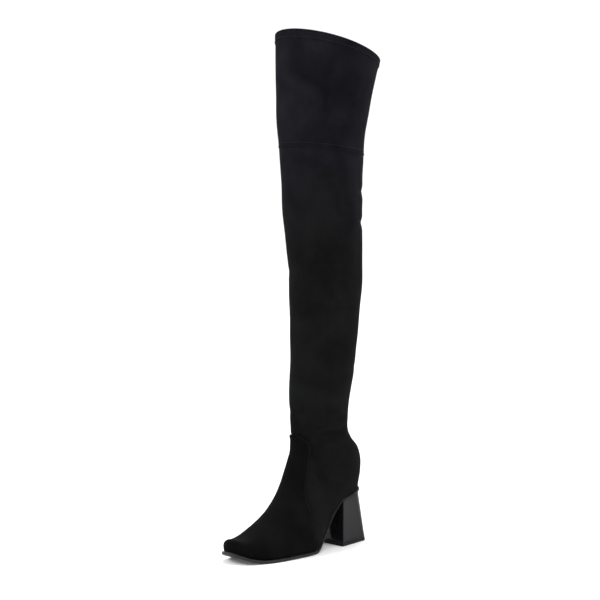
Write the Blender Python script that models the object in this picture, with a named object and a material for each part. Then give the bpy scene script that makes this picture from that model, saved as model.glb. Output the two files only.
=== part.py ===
"""A thigh high boot with a block heel, for the left foot, as separate named pieces.

Metres, +Z up, toe toward -Y, wearer's left (outer side) toward +X. The origin is on the floor,
under the middle of the heel. The boot stands empty on its heel and on the flat of its tread.
"""

import math

import bmesh
import bpy
import numpy as np
from mathutils import Matrix, Vector

for old_object in list(bpy.data.objects):
    bpy.data.objects.remove(old_object, do_unlink=True)

# Driving sizes of the last and the shaft
FOOT_LENGTH = 0.239
BALL_WIDTH = 0.081
INSTEP_HEIGHT = 0.062
HEEL_HEIGHT = 0.079
BOOT_HEIGHT = 0.733
CALF_DEPTH = 0.128
CALF_WIDTH = 0.090
HEEL_BACK = 0.027

# Upper
WALL = 0.0018
HEM_HEIGHT = 0.011
HEM_STEP = 0.0007
KNEE_SEAM_HEIGHT = 0.566
KNEE_SEAM_WIDTH = 0.003
KNEE_SEAM_STEP = 0.0006
STEP_RUN = 0.0004
VAMP_THICKNESS = 0.0011
PIECE_GAP = 0.0003
GORE_WIDTH = 0.044
GORE_DEPTH = 0.062

# Zip, on the inner side and toward the back, with its slider and pull
ZIP_WIDTH = 0.007
ZIP_BOTTOM = 0.186
ZIP_TOP_LAND = 0.004
ZIP_ANGLE = math.radians(72)
ZIP_RECESS = 0.0004
SLIDER_DROP = 0.009
SLIDER_LENGTH = 0.010
SLIDER_WIDTH = 0.008
SLIDER_TOP = 0.0025
EAR_INNER = 0.0016
EAR_OUTER = 0.0026
EAR_HALF = 0.0015
EAR_TOP = 0.0060
PIN_HEIGHT = 0.0045
PIN_RADIUS = 0.0005
PULL_BORE = 0.0006
PULL_BARREL = 0.0014
PULL_NECK = 0.0013
PULL_STEM = 0.0010
PULL_WIDTH = 0.005
PULL_LENGTH = 0.024
PULL_SHOULDER = 0.0035
PULL_THICKNESS = 0.0012

# Sole and insole
SOLE_THICKNESS = 0.0045
WAIST_THICKNESS = 0.0022
SOLE_EDGE = 0.0050
WAIST_EDGE = 0.0016
TOE_SPRING = 0.0108
TREAD_FRONT = 0.042
TREAD_BACK = 0.123
ARCH_SLOPE = 0.65
INSOLE_THICKNESS = 0.0025
INSOLE_GAP = 0.0014

# Heel
SEAT_LENGTH = 0.049
SEAT_SLOPE = 0.27
HEEL_TOP_DEPTH = 0.046
HEEL_TOP_WIDTH = 0.053
HEEL_TOP_CORNER = 0.019
HEEL_BASE_DEPTH = 0.058
HEEL_BASE_WIDTH = 0.068
HEEL_BASE_CORNER = 0.009
HEEL_BACK_SHARE = 0.80
TOP_PIECE_THICKNESS = 0.0045

# Closing curves of the toe and the heel seat
TOE_CORNER = 0.026
TOE_SQUARENESS = 2.7
TOE_WALL = 0.62
TOE_ROLL = 0.009
SEAT_CORNER = 0.027
LEAST_BULGE = 1.02

TOE_TIP = HEEL_BACK - FOOT_LENGTH
BREAST = HEEL_BACK - SEAT_LENGTH

# Half widths of the feather line: share of foot length from the toe, shares of ball width
OUTLINE_COLUMNS = ("along", "outer", "inner")
OUTLINE = (
    (0.00, 0.225, 0.275),
    (0.10, 0.330, 0.330),
    (0.20, 0.430, 0.385),
    (0.30, 0.475, 0.410),
    (0.40, 0.495, 0.385),
    (0.48, 0.500, 0.350),
    (0.56, 0.455, 0.315),
    (0.64, 0.370, 0.295),
    (0.74, 0.325, 0.295),
    (0.86, 0.320, 0.315),
    (1.00, 0.315, 0.315),
)

# Sections of the foot, toe to heel. sole and top are shares of foot length from the toe, tall is a
# share of instep height above the sole line, outer and inner are half widths as shares of ball
# width, widest is the height share of the widest point, crown its roundness, ridge its lean.
FOOT_COLUMNS = ("sole", "top", "tall", "outer", "inner", "widest", "crown", "ridge")
FOOT = (
    (0.00, 0.000, 0.275, 0.235, 0.285, 0.30, 2.6, -0.03),
    (0.07, 0.071, 0.350, 0.325, 0.330, 0.30, 2.5, -0.03),
    (0.15, 0.150, 0.465, 0.415, 0.385, 0.30, 2.4, -0.03),
    (0.23, 0.225, 0.600, 0.475, 0.430, 0.30, 2.2, -0.03),
    (0.31, 0.295, 0.770, 0.510, 0.450, 0.32, 2.0, -0.03),
    (0.39, 0.350, 0.980, 0.525, 0.440, 0.32, 1.9, -0.02),
    (0.48, 0.395, 1.250, 0.525, 0.410, 0.32, 1.9, -0.01),
    (0.58, 0.428, 1.530, 0.470, 0.385, 0.34, 1.9, 0.00),
    (0.70, 0.457, 1.820, 0.400, 0.365, 0.36, 1.9, 0.00),
    (0.84, 0.479, 2.070, 0.375, 0.360, 0.36, 1.9, 0.00),
    (1.00, 0.492, 2.250, 0.370, 0.360, 0.33, 2.0, 0.00),
)

# Sections of the leg, ankle to collar. back_up and front_up are shares of the leg's height,
# back and front are shares of calf depth from the origin, half is a share of calf width.
LEG_COLUMNS = ("back_up", "front_up", "back", "front", "half", "widest", "crown")
LEG = (
    (0.032, 0.121, 0.252, -0.728, 0.335, 0.34, 2.0),
    (0.059, 0.139, 0.258, -0.728, 0.338, 0.36, 2.0),
    (0.086, 0.155, 0.208, -0.725, 0.342, 0.38, 2.0),
    (0.107, 0.173, 0.105, -0.720, 0.352, 0.42, 2.0),
    (0.128, 0.192, 0.040, -0.714, 0.375, 0.45, 2.0),
    (0.161, 0.215, 0.035, -0.705, 0.405, 0.47, 2.0),
    (0.218, 0.257, 0.078, -0.692, 0.425, 0.48, 2.0),
    (0.278, 0.308, 0.135, -0.686, 0.439, 0.49, 2.0),
    (0.359, 0.380, 0.195, -0.683, 0.455, 0.49, 2.0),
    (0.462, 0.476, 0.262, -0.697, 0.477, 0.49, 2.0),
    (0.571, 0.584, 0.266, -0.748, 0.503, 0.50, 2.0),
    (0.673, 0.689, 0.253, -0.787, 0.530, 0.50, 2.0),
    (0.767, 0.788, 0.276, -0.818, 0.590, 0.50, 2.0),
    (0.842, 0.875, 0.340, -0.815, 0.662, 0.51, 2.0),
    (0.902, 0.950, 0.430, -0.805, 0.702, 0.52, 2.0),
    (0.937, 1.000, 0.500, -0.800, 0.716, 0.53, 2.0),
)

# The vamp's seam seen from the side, as shares of foot length from the toe and up from the floor
VAMP_SEAM = (
    (0.380, 0.705),
    (0.506, 0.690),
    (0.536, 0.661),
    (0.561, 0.628),
    (0.560, 0.580),
    (0.545, 0.525),
    (0.518, 0.450),
    (0.490, 0.380),
    (0.482, 0.330),
    (0.490, 0.250),
    (0.502, 0.150),
    (0.506, 0.000),
    (-0.200, 0.000),
    (-0.200, 0.705),
)

# How finely the solids are cut into facets
LOWER_STEPS = 5
UPPER_STEPS = 10
ROW_STEPS = 1
TOE_ROWS = 7
SEAT_ROWS = 5
ARCH_ROWS = 12
CORNER_STEPS = 5
SHARP_ANGLE = 38
ZIP_ROWS = 14
ROUND_STEPS = 12
CUT_REACH = 3
NEAR_ANGLE = 0.001
NEAR_STATION = 0.001

# Surfaces: colour, roughness, metallic
SUEDE = ((0.012, 0.012, 0.014), 0.88, 0.0)
ELASTIC = ((0.014, 0.014, 0.016), 0.80, 0.0)
LINING = ((0.030, 0.028, 0.027), 0.75, 0.0)
SOLE_RUBBER = ((0.045, 0.045, 0.048), 0.45, 0.0)
HEEL_GLOSS = ((0.020, 0.020, 0.022), 0.14, 0.0)
TOP_PIECE_RUBBER = ((0.016, 0.016, 0.017), 0.60, 0.0)
ZIP_TAPE = ((0.022, 0.022, 0.025), 0.70, 0.0)
BLACK_METAL = ((0.030, 0.030, 0.032), 0.35, 1.0)


def column(table, columns, name):
    """One named column of a table, as an array."""
    return np.array([row[columns.index(name)] for row in table])


def smooth_curve(stations, values, at):
    """Smooth interpolation through a table's rows, with tangents from the neighbouring rows."""
    steps = np.diff(stations)
    slopes = np.diff(values) / steps
    tangents = np.empty(len(values))
    tangents[1:-1] = (slopes[:-1] * steps[1:] + slopes[1:] * steps[:-1]) / (steps[1:] + steps[:-1])
    tangents[0] = slopes[0]
    tangents[-1] = slopes[-1]
    index = int(np.clip(np.searchsorted(stations, at, side="right") - 1, 0, len(steps) - 1))
    span = steps[index]
    t = (at - stations[index]) / span
    return (
        (2 * t**3 - 3 * t**2 + 1) * values[index]
        + (t**3 - 2 * t**2 + t) * span * tangents[index]
        + (3 * t**2 - 2 * t**3) * values[index + 1]
        + (t**3 - t**2) * span * tangents[index + 1]
    )


def sole_line(y):
    """Height of the sole's upper face: toe spring, flat tread, arch, then the sloping seat."""
    tread_front = TOE_TIP + TREAD_FRONT
    tread_back = TOE_TIP + TREAD_BACK
    if y < tread_front:
        return SOLE_THICKNESS + TOE_SPRING * ((tread_front - y) / TREAD_FRONT) ** 2
    if y <= tread_back:
        return SOLE_THICKNESS
    if y >= BREAST:
        return HEEL_HEIGHT - SEAT_SLOPE * (HEEL_BACK - y)
    run = BREAST - tread_back
    rise = HEEL_HEIGHT - SEAT_SLOPE * SEAT_LENGTH - SOLE_THICKNESS
    t = (y - tread_back) / run
    return SOLE_THICKNESS + rise * (3 * t**2 - 2 * t**3) + ARCH_SLOPE * run * (t**3 - t**2)


def closing(distance, reach, power):
    """Share of the full size at a distance from a rounded end."""
    if distance >= reach:
        return 1.0
    return (1 - (1 - max(distance, 0.0) / reach) ** power) ** (1 / power)


def toe_closing(y):
    """How far the rounded corners of the toe narrow it at y, seen from above."""
    return max(closing(y - TOE_TIP, TOE_CORNER, TOE_SQUARENESS), 1e-6)


def feather(y, side):
    """Half width of the line where the upper meets the sole, on the outer or the inner side."""
    along = (min(max(y, TOE_TIP), HEEL_BACK) - TOE_TIP) / FOOT_LENGTH
    stations = column(OUTLINE, OUTLINE_COLUMNS, "along")
    share = smooth_curve(stations, column(OUTLINE, OUTLINE_COLUMNS, side), along)
    return share * BALL_WIDTH * toe_closing(y) * closing(HEEL_BACK - y, SEAT_CORNER, 2.0)


def last_rows():
    """The tables' rows as lengths: bottom y and z, top y and z, outer and inner half width,
    widest, crown and ridge."""
    rows = []
    for sole, top, tall, outer, inner, widest, crown, ridge in FOOT:
        y = TOE_TIP + sole * FOOT_LENGTH
        top_y = TOE_TIP + top * FOOT_LENGTH
        rows.append((y, sole_line(y), top_y, sole_line(top_y) + tall * INSTEP_HEIGHT,
                     outer * BALL_WIDTH, inner * BALL_WIDTH, widest, crown, ridge * BALL_WIDTH))
    leg_height = BOOT_HEIGHT - HEEL_HEIGHT
    for back_up, front_up, back, front, half, widest, crown in LEG:
        rows.append((back * CALF_DEPTH, HEEL_HEIGHT + back_up * leg_height,
                     front * CALF_DEPTH, HEEL_HEIGHT + front_up * leg_height,
                     half * CALF_WIDTH, half * CALF_WIDTH, widest, crown, 0.0))
    return np.array(rows)


ROWS = last_rows()
SEAT_ROW = len(FOOT) - 1
BOTTOM_STEPS = np.hypot(*np.diff(ROWS[:, 0:2], axis=0).T)
TOP_STEPS = np.hypot(*np.diff(ROWS[:, 2:4], axis=0).T)
STATIONS = np.concatenate([[0.0], np.cumsum((BOTTOM_STEPS + TOP_STEPS) / 2)])
SEAT_STATION = STATIONS[SEAT_ROW]


def section_ends(station):
    """The two ends of a section: on the sole line or up the back, and on the toe, instep or shin."""
    top_y = smooth_curve(STATIONS, ROWS[:, 2], station)
    top_z = smooth_curve(STATIONS, ROWS[:, 3], station)
    if station <= SEAT_STATION:
        foot = slice(0, SEAT_ROW + 1)
        y = min(max(smooth_curve(STATIONS[foot], ROWS[foot, 0], station), TOE_TIP), HEEL_BACK)
        z = sole_line(y)
    else:
        leg = slice(SEAT_ROW, None)
        y = smooth_curve(STATIONS[leg], ROWS[leg, 0], station)
        z = smooth_curve(STATIONS[leg], ROWS[leg, 1], station)
    rolled = TOE_WALL + (1 - TOE_WALL) * closing(top_y - TOE_TIP, TOE_ROLL, 2.0)
    if rolled < 1:
        top_z = sole_line(top_y) + (top_z - sole_line(top_y)) * rolled
    return y, z, top_y, top_z


def section_points(station):
    """Points round one section, from the outer side's lower edge over the top to the inner's."""
    y, z, top_y, top_z = section_ends(station)
    outer, inner, widest, crown, ridge = (
        smooth_curve(STATIONS, ROWS[:, k], station) for k in range(4, 9)
    )
    starts = (0.0, 0.0)
    if station <= SEAT_STATION:
        starts = (feather(y, "outer"), feather(y, "inner"))
        outer = max(outer * toe_closing(y), starts[0] * LEAST_BULGE)
        inner = max(inner * toe_closing(y), starts[1] * LEAST_BULGE)
    first = math.asin(sum(starts) / (outer + inner))
    halves = []
    for sign, start, wide in ((1, starts[0], outer), (-1, starts[1], inner)):
        half = []
        for step in range(LOWER_STEPS):
            angle = first + (math.pi / 2 - first) * step / LOWER_STEPS
            spread = (math.sin(angle) - math.sin(first)) / (1 - math.sin(first))
            half.append((start + (wide - start) * spread,
                         widest * (1 - math.cos(angle) / math.cos(first))))
        for step in range(UPPER_STEPS):
            angle = math.pi / 2 * step / UPPER_STEPS
            half.append((wide * math.cos(angle) ** (2 / crown),
                         widest + (1 - widest) * math.sin(angle) ** (2 / crown)))
        halves.append([(sign * across, up) for across, up in half])
    ring = halves[0] + [(0.0, 1.0)] + halves[1][::-1]
    return np.array([
        (across + ridge * math.sin(math.pi / 2 * up), y + (top_y - y) * up, z + (top_z - z) * up)
        for across, up in ring
    ])


def last_grid(stations):
    """Points of the last's surface, a row of them for each section, with the way out of it."""
    points = np.array([section_points(station) for station in stations])
    along = np.gradient(points, axis=0)
    around = np.gradient(points, axis=1)
    closed = np.array(stations) > SEAT_STATION - 1e-9
    around[closed, 0] = points[closed, 1] - points[closed, -2]
    around[closed, -1] = around[closed, 0]
    outward = np.cross(along, around)
    edge = ~closed
    for end in (0, -1):
        outward[edge, end] = np.stack([
            along[edge, end, 1], -along[edge, end, 0], np.zeros(edge.sum())
        ], axis=1) * (1 if end == 0 else -1)
    outward[0] = outward[0] + outward[0][::-1] * (-1, 1, 1)
    outward[0, :, 0] = 0
    outward[closed, 0] = outward[closed, 0] * (0, 1, 1)
    outward[closed, -1] = outward[closed, 0]
    length = np.linalg.norm(outward, axis=2, keepdims=True)
    return points, outward / np.maximum(length, 1e-12)


def offset_grid(stations, offsets):
    """The last's surface moved outward by one distance for each row, its lower edge on the sole."""
    points, outward = last_grid(stations)
    moved = points + outward * np.array(offsets)[:, None, None]
    for row, station in enumerate(stations):
        if station < SEAT_STATION + 1e-9:
            for end in (0, -1):
                if station > SEAT_STATION - 1e-9:
                    moved[row, end, 1] = HEEL_BACK + offsets[row]
                moved[row, end, 2] = sole_line(moved[row, end, 1])
    return moved


def side_point(station, angle):
    """A point on the leg's inner side, at an angle round from the back."""
    y, z, top_y, top_z = section_ends(station)
    half = smooth_curve(STATIONS, ROWS[:, 5], station)
    up = smooth_curve(STATIONS, ROWS[:, 6], station) * (1 - math.cos(angle))
    return Vector((-half * math.sin(angle), y + (top_y - y) * up, z + (top_z - z) * up))


def station_at_height(height):
    """The station of the leg's section whose middle is at a height."""
    low, high = SEAT_STATION, STATIONS[-1]
    for _ in range(50):
        middle = (low + high) / 2
        _, z, _, top_z = section_ends(middle)
        low, high = (middle, high) if (z + top_z) / 2 < height else (low, middle)
    return (low + high) / 2


def foot_rows():
    """Places of the foot's rows on the sole line, toe to heel, close together at the round ends."""
    toe = [TOE_TIP + TOE_CORNER * (k / TOE_ROWS) ** 2 for k in range(TOE_ROWS + 1)]
    tread_front = TOE_TIP + TREAD_FRONT
    tread_back = TOE_TIP + TREAD_BACK
    arch = [tread_back + (BREAST - tread_back) * k / ARCH_ROWS for k in range(ARCH_ROWS + 1)]
    seat = [HEEL_BACK - SEAT_CORNER * (1 - k / SEAT_ROWS) ** 2 for k in range(SEAT_ROWS + 1)]
    between = [(BREAST + seat[0]) / 2]
    return toe + [tread_front, (tread_front + tread_back) / 2] + arch + between + seat


def station_at_sole(y):
    """The station of the foot's section that starts at y on the sole line."""
    low, high = 0.0, SEAT_STATION
    for _ in range(50):
        middle = (low + high) / 2
        low, high = (middle, high) if section_ends(middle)[0] < y else (low, middle)
    return (low + high) / 2


def row_stations(extra=()):
    """Stations of the facets' rows, with the sole's own rows in the foot and each extra one."""
    foot = [0.0] + [station_at_sole(y) for y in foot_rows()[1:-1]] + [SEAT_STATION]
    leg = []
    for low, high in zip(STATIONS[SEAT_ROW:-1], STATIONS[SEAT_ROW + 1:]):
        leg += [low + (high - low) * (k + 1) / ROW_STEPS for k in range(ROW_STEPS)]
    leg = [s for s in leg if all(abs(s - e) > 4 * STEP_RUN for e in extra) or s == STATIONS[-1]]
    return sorted(foot + leg + list(extra))


def new_object(name, mesh_edit):
    """A named object in the scene from a bmesh, welded and with its faces pointing out."""
    mesh = bpy.data.meshes.new(name)
    bmesh.ops.remove_doubles(mesh_edit, verts=mesh_edit.verts, dist=1e-6)
    bmesh.ops.recalc_face_normals(mesh_edit, faces=mesh_edit.faces)
    mesh_edit.to_mesh(mesh)
    mesh_edit.free()
    mesh.shade_smooth()
    mesh.set_sharp_from_angle(angle=math.radians(SHARP_ANGLE))
    made = bpy.data.objects.new(name, mesh)
    bpy.context.scene.collection.objects.link(made)
    return made


def finish(made, name, surface):
    """Give an object its own material."""
    colour, roughness, metallic = surface
    material = bpy.data.materials.new(name)
    material.use_nodes = True
    shader = material.node_tree.nodes["Principled BSDF"]
    shader.inputs["Base Color"].default_value = (*colour, 1.0)
    shader.inputs["Roughness"].default_value = roughness
    shader.inputs["Metallic"].default_value = metallic
    made.data.materials.append(material)
    return made


def sweep(name, rings):
    """A closed solid through rings of points, with flat ends."""
    build = bmesh.new()
    made = [[build.verts.new(point) for point in ring] for ring in rings]
    for low, high in zip(made, made[1:]):
        for k in range(len(low)):
            after = (k + 1) % len(low)
            build.faces.new((low[k], low[after], high[after], high[k]))
    build.faces.new(made[0])
    build.faces.new(made[-1])
    return new_object(name, build)


def combine(target, tool, operation):
    """Cut, join or intersect an object with a tool that is kept out of sight."""
    tool.hide_render = True
    tool.display_type = "WIRE"
    modifier = target.modifiers.new(tool.name, "BOOLEAN")
    modifier.operation = operation
    modifier.solver = "EXACT"
    modifier.object = tool


def shell(name, stations, outer_offsets, inner_offsets):
    """A closed wall between two forms of the last, open underneath and at its last row."""
    build = bmesh.new()
    outer = offset_grid(stations, outer_offsets)
    inner = offset_grid(stations, inner_offsets)
    grids = []
    for grid in (outer, inner):
        grids.append([[build.verts.new(point) for point in row] for row in grid])
    rows, columns = outer.shape[:2]
    for grid in grids:
        for row in range(rows - 1):
            for k in range(columns - 1):
                build.faces.new((grid[row][k], grid[row + 1][k],
                                 grid[row + 1][k + 1], grid[row][k + 1]))
    for row in range(rows - 1):
        if stations[row + 1] <= SEAT_STATION + 1e-9:
            for end in (0, -1):
                build.faces.new((grids[0][row][end], grids[0][row + 1][end],
                                 grids[1][row + 1][end], grids[1][row][end]))
    ends = [-1] if stations[0] < SEAT_STATION else [0, -1]
    for row in ends:
        for k in range(columns - 1):
            build.faces.new((grids[0][row][k], grids[0][row][k + 1],
                             grids[1][row][k + 1], grids[1][row][k]))
    return new_object(name, build)


def plan_outline(beyond):
    """Points of the feather line moved outward by beyond(y), toe to heel, one list for each side."""
    sides = []
    for sign, side in ((1, "outer"), (-1, "inner")):
        line = []
        for y in foot_rows():
            step = 1e-5
            before, after = max(y - step, TOE_TIP), min(y + step, HEEL_BACK)
            across = feather(after, side) - feather(before, side)
            length = math.hypot(across, after - before)
            away = beyond(y)
            if y <= TOE_TIP:
                line.append((0.0, y - away))
            elif y >= HEEL_BACK:
                line.append((0.0, y + away))
            else:
                line.append((sign * (feather(y, side) + away * (after - before) / length),
                             y - away * across / length))
        sides.append(line)
    return sides


def plate(name, sides, top, bottom):
    """A closed plate between two outlines' sides, with heights given by top(y) and bottom(y)."""
    build = bmesh.new()
    levels = []
    for height in (top, bottom):
        levels.append([[build.verts.new((x, y, height(y))) for x, y in line] for line in sides])
    count = len(sides[0])
    for outer, inner in levels:
        for k in range(count - 1):
            build.faces.new([outer[k], outer[k + 1], inner[k + 1], inner[k]])
    for side in (0, 1):
        for k in range(count - 1):
            build.faces.new([levels[0][side][k], levels[0][side][k + 1],
                             levels[1][side][k + 1], levels[1][side][k]])
    return new_object(name, build)


def ease(y, start, end):
    """0 before start, 1 after end, smooth between."""
    t = min(max((y - start) / (end - start), 0.0), 1.0)
    return t * t * (3 - 2 * t)


def sole_thickness(y):
    """The sole is thick under the ball and thin at the waist and the seat."""
    tread_back = TOE_TIP + TREAD_BACK
    waist = ease(y, tread_back, (tread_back + BREAST) / 2)
    return SOLE_THICKNESS + (WAIST_THICKNESS - SOLE_THICKNESS) * waist


def sole_edge(y):
    """How far the sole reaches beyond the feather line."""
    waist = ease(y, TOE_TIP + TREAD_FRONT, (TOE_TIP + TREAD_BACK + BREAST) / 2)
    return SOLE_EDGE + (WAIST_EDGE - SOLE_EDGE) * waist


def make_outsole():
    """The thin sole, from the toe's welt-like edge to the heel seat."""
    outsole = plate("outsole", plan_outline(sole_edge), lambda y: sole_line(y) - PIECE_GAP,
                    lambda y: sole_line(y) - sole_thickness(y))
    finish(outsole, "outsole", SOLE_RUBBER)


def make_insole():
    """The insole board, inside the upper's wall, on the sole."""
    insole = plate("insole", plan_outline(lambda y: -WALL - INSOLE_GAP),
                   lambda y: sole_line(y) + INSOLE_THICKNESS, sole_line)
    finish(insole, "insole", LINING)


def heel_ring(width, depth, corner, back_y):
    """One level of the heel, seen from above: a straight breast and rounded back corners."""
    front_half = width / 2
    back_half = width * HEEL_BACK_SHARE / 2
    points = [(front_half, back_y - depth)]
    for k in range(CORNER_STEPS + 1):
        angle = math.pi / 2 * k / CORNER_STEPS
        points.append((back_half - corner * (1 - math.cos(angle)),
                       back_y - corner * (1 - math.sin(angle))))
    return points + [(-x, y) for x, y in points[::-1]]


def make_heel_block(name, low, top_height):
    """A stretch of the heel from a height up to its top face at top_height(y)."""
    base = heel_ring(HEEL_BASE_WIDTH, HEEL_BASE_DEPTH, HEEL_BASE_CORNER, HEEL_BASE_DEPTH / 2)
    seat = heel_ring(HEEL_TOP_WIDTH, HEEL_TOP_DEPTH, HEEL_TOP_CORNER,
                     HEEL_BACK - (SEAT_LENGTH - HEEL_TOP_DEPTH) / 2)
    rings = []
    for height in (lambda y: low, top_height):
        ring = []
        for (x0, y0), (x1, y1) in zip(base, seat):
            y = y1
            for _ in range(8):
                share = height(y) / HEEL_HEIGHT
                y = y0 + (y1 - y0) * share
            ring.append((x0 + (x1 - x0) * share, y, height(y)))
        rings.append(ring)
    return sweep(name, rings)


def make_heel():
    """The block heel, flared to its base, and the thin top piece under it."""
    heel = make_heel_block("heel", TOP_PIECE_THICKNESS + PIECE_GAP,
                           lambda y: sole_line(y) - WAIST_THICKNESS - PIECE_GAP)
    finish(heel, "heel", HEEL_GLOSS)
    top_piece = make_heel_block("heel_top_piece", 0.0, lambda y: TOP_PIECE_THICKNESS)
    finish(top_piece, "heel_top_piece", TOP_PIECE_RUBBER)


def upper_rows():
    """Stations of the upper's rows and how far each stands proud: a raised knee seam and a hem."""
    knee = station_at_height(KNEE_SEAM_HEIGHT)
    hem = STATIONS[-1] - HEM_HEIGHT
    half = KNEE_SEAM_WIDTH / 2
    stations = row_stations((knee - half - STEP_RUN, knee - half, knee + half,
                             knee + half + STEP_RUN, hem - STEP_RUN, hem))
    proud = []
    for station in stations:
        if station > hem - STEP_RUN / 4:
            proud.append(HEM_STEP)
        elif abs(station - knee) < half + STEP_RUN / 4:
            proud.append(KNEE_SEAM_STEP)
        else:
            proud.append(0.0)
    return stations, proud


UPPER_STATIONS, UPPER_PROUD = upper_rows()
ZIP_LOW = station_at_height(ZIP_BOTTOM)
ZIP_HIGH = station_at_height(KNEE_SEAM_HEIGHT - KNEE_SEAM_WIDTH - ZIP_TOP_LAND)


def stations_round(low, high):
    """The upper's stations from the last one below low to the first one above high."""
    first = max([0] + [k for k, s in enumerate(UPPER_STATIONS) if s < low])
    last = min(k for k, s in enumerate(UPPER_STATIONS) if s > high or s == UPPER_STATIONS[-1])
    return UPPER_STATIONS[first:last + 1]


def panel(name, stations, outer, inner, form):
    """A piece of wall between two distances from the last, inside a form."""
    made = shell(name, stations, [outer] * len(stations), [inner] * len(stations))
    combine(made, form, "INTERSECT")
    return made


def gore_form(name, beyond):
    """A V seen from behind, down from above the collar."""
    collar = ROWS[-1, 1]
    slope = GORE_WIDTH / 2 / GORE_DEPTH
    tip = collar - GORE_DEPTH - beyond * math.hypot(1, slope) / slope
    top = BOOT_HEIGHT + HEM_HEIGHT
    half = (top - tip) * slope
    rings = []
    for y in (0.0, CALF_DEPTH):
        rings.append([(0.0, y, tip), (half, y, top), (-half, y, top)])
    return sweep(name, rings)


def zip_frame(station):
    """A place on the zip's line with its directions: level across, up along, and outward."""
    place = side_point(station, ZIP_ANGLE)
    across = side_point(station, ZIP_ANGLE + NEAR_ANGLE) - side_point(station, ZIP_ANGLE - NEAR_ANGLE)
    across.z = 0
    across.normalize()
    low, high = (side_point(station + step, ZIP_ANGLE) for step in (-NEAR_STATION, NEAR_STATION))
    along = high - low
    along = (along - across * along.dot(across)).normalized()
    return place, across, along, across.cross(along)


def at(frame, u, v, w):
    """A point u across, v along and w outward in a frame."""
    place, across, along, outward = frame
    return place + across * u + along * v + outward * w


def zip_form(name, beyond):
    """A bar along the zip's line, through the wall."""
    half = ZIP_WIDTH / 2 + beyond
    deep = CUT_REACH * WALL
    rings = []
    for k in range(ZIP_ROWS + 1):
        station = ZIP_LOW - beyond + (ZIP_HIGH - ZIP_LOW + 2 * beyond) * k / ZIP_ROWS
        frame = zip_frame(station)
        rings.append([at(frame, u, 0, w) for u, w in
                      ((-half, -deep), (half, -deep), (half, deep), (-half, deep))])
    return sweep(name, rings)


def slab(name, frame, outline, low, high):
    """A flat piece with an outline across and along a frame, between two distances outward."""
    return sweep(name, [[at(frame, u, v, w) for u, v in outline] for w in (low, high)])


def corners(left, right, bottom, top):
    """The outline of a rectangle."""
    return [(left, bottom), (right, bottom), (right, top), (left, top)]


def rod(name, frame, radius, half_length):
    """A round bar across a frame, through its place."""
    rings = []
    for u in (-half_length, half_length):
        ring = []
        for k in range(ROUND_STEPS):
            angle = 2 * math.pi * k / ROUND_STEPS
            ring.append(at(frame, u, radius * math.cos(angle), radius * math.sin(angle)))
        rings.append(ring)
    return sweep(name, rings)


def make_upper():
    """The whole upper as one hollow wall, open for the zip and the gore."""
    upper = shell("upper", UPPER_STATIONS, UPPER_PROUD, [-WALL] * len(UPPER_STATIONS))
    combine(upper, zip_form("zip_opening", PIECE_GAP), "DIFFERENCE")
    combine(upper, gore_form("gore_opening", PIECE_GAP), "DIFFERENCE")
    finish(upper, "upper", SUEDE)


def make_vamp():
    """The vamp, laid over the upper's foot up to its curved seam."""
    rings = []
    for x in (-BALL_WIDTH, BALL_WIDTH):
        rings.append([(x, TOE_TIP + back * FOOT_LENGTH, up * FOOT_LENGTH) for back, up in VAMP_SEAM])
    form = sweep("vamp_form", rings)
    last = station_at_height(max(up for back, up in VAMP_SEAM) * FOOT_LENGTH)
    vamp = panel("vamp", stations_round(0.0, last), PIECE_GAP + VAMP_THICKNESS, PIECE_GAP, form)
    finish(vamp, "vamp", SUEDE)


def make_gore():
    """The elastic V at the back of the collar."""
    low = station_at_height(ROWS[-1, 1] - GORE_DEPTH - HEM_HEIGHT)
    gore = panel("back_gore", stations_round(low, STATIONS[-1]), 0.0, -WALL, gore_form("gore_form", 0.0))
    finish(gore, "back_gore", ELASTIC)


def make_zip():
    """The zip's tape with its closed teeth, its slider and the pull that swings on the slider."""
    tape = panel("zip", stations_round(ZIP_LOW, ZIP_HIGH), -ZIP_RECESS, -WALL,
                 zip_form("zip_form", 0.0))
    finish(tape, "zip", ZIP_TAPE)

    frame = zip_frame(ZIP_HIGH - SLIDER_DROP)
    wide, tall = SLIDER_WIDTH / 2, SLIDER_LENGTH / 2
    slider = slab("zip_slider", frame, corners(-wide, wide, -tall, tall), PIECE_GAP, SLIDER_TOP)
    for name, side in (("ear_front", 1), ("ear_back", -1)):
        inner, outer = sorted((side * EAR_INNER, side * EAR_OUTER))
        ear = slab(name, frame, corners(inner, outer, -EAR_HALF, EAR_HALF), SLIDER_TOP / 2, EAR_TOP)
        combine(slider, ear, "UNION")
    pin_place = at(frame, 0, 0, PIN_HEIGHT)
    up = Vector((0, 0, 1))
    hanging = (pin_place, frame[1], up, frame[1].cross(up))
    combine(slider, rod("pin", hanging, PIN_RADIUS, (EAR_INNER + EAR_OUTER) / 2), "UNION")
    finish(slider, "zip_slider", BLACK_METAL)

    pull = rod("zip_pull", hanging, PULL_BARREL, PULL_NECK)
    half, thick = PULL_WIDTH / 2, PULL_THICKNESS / 2
    tab = slab("pull_tab", hanging,
               [(-PULL_STEM, 0), (-PULL_STEM, -PULL_SHOULDER), (-half, -PULL_SHOULDER),
                (-half, -PULL_LENGTH), (half, -PULL_LENGTH), (half, -PULL_SHOULDER),
                (PULL_STEM, -PULL_SHOULDER), (PULL_STEM, 0)], -thick, thick)
    combine(pull, tab, "UNION")
    combine(pull, rod("pull_bore", hanging, PULL_BORE, 2 * PULL_NECK), "DIFFERENCE")
    pull.data.transform(Matrix.Translation(-pin_place))
    pull.location = pin_place
    finish(pull, "zip_pull", BLACK_METAL)


make_outsole()
make_insole()
make_heel()
make_upper()
make_vamp()
make_gore()
make_zip()
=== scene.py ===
"""The thigh high boot's looks: suede upper, seams, folds, glossy heel, zip, and the studio."""

import math

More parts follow.
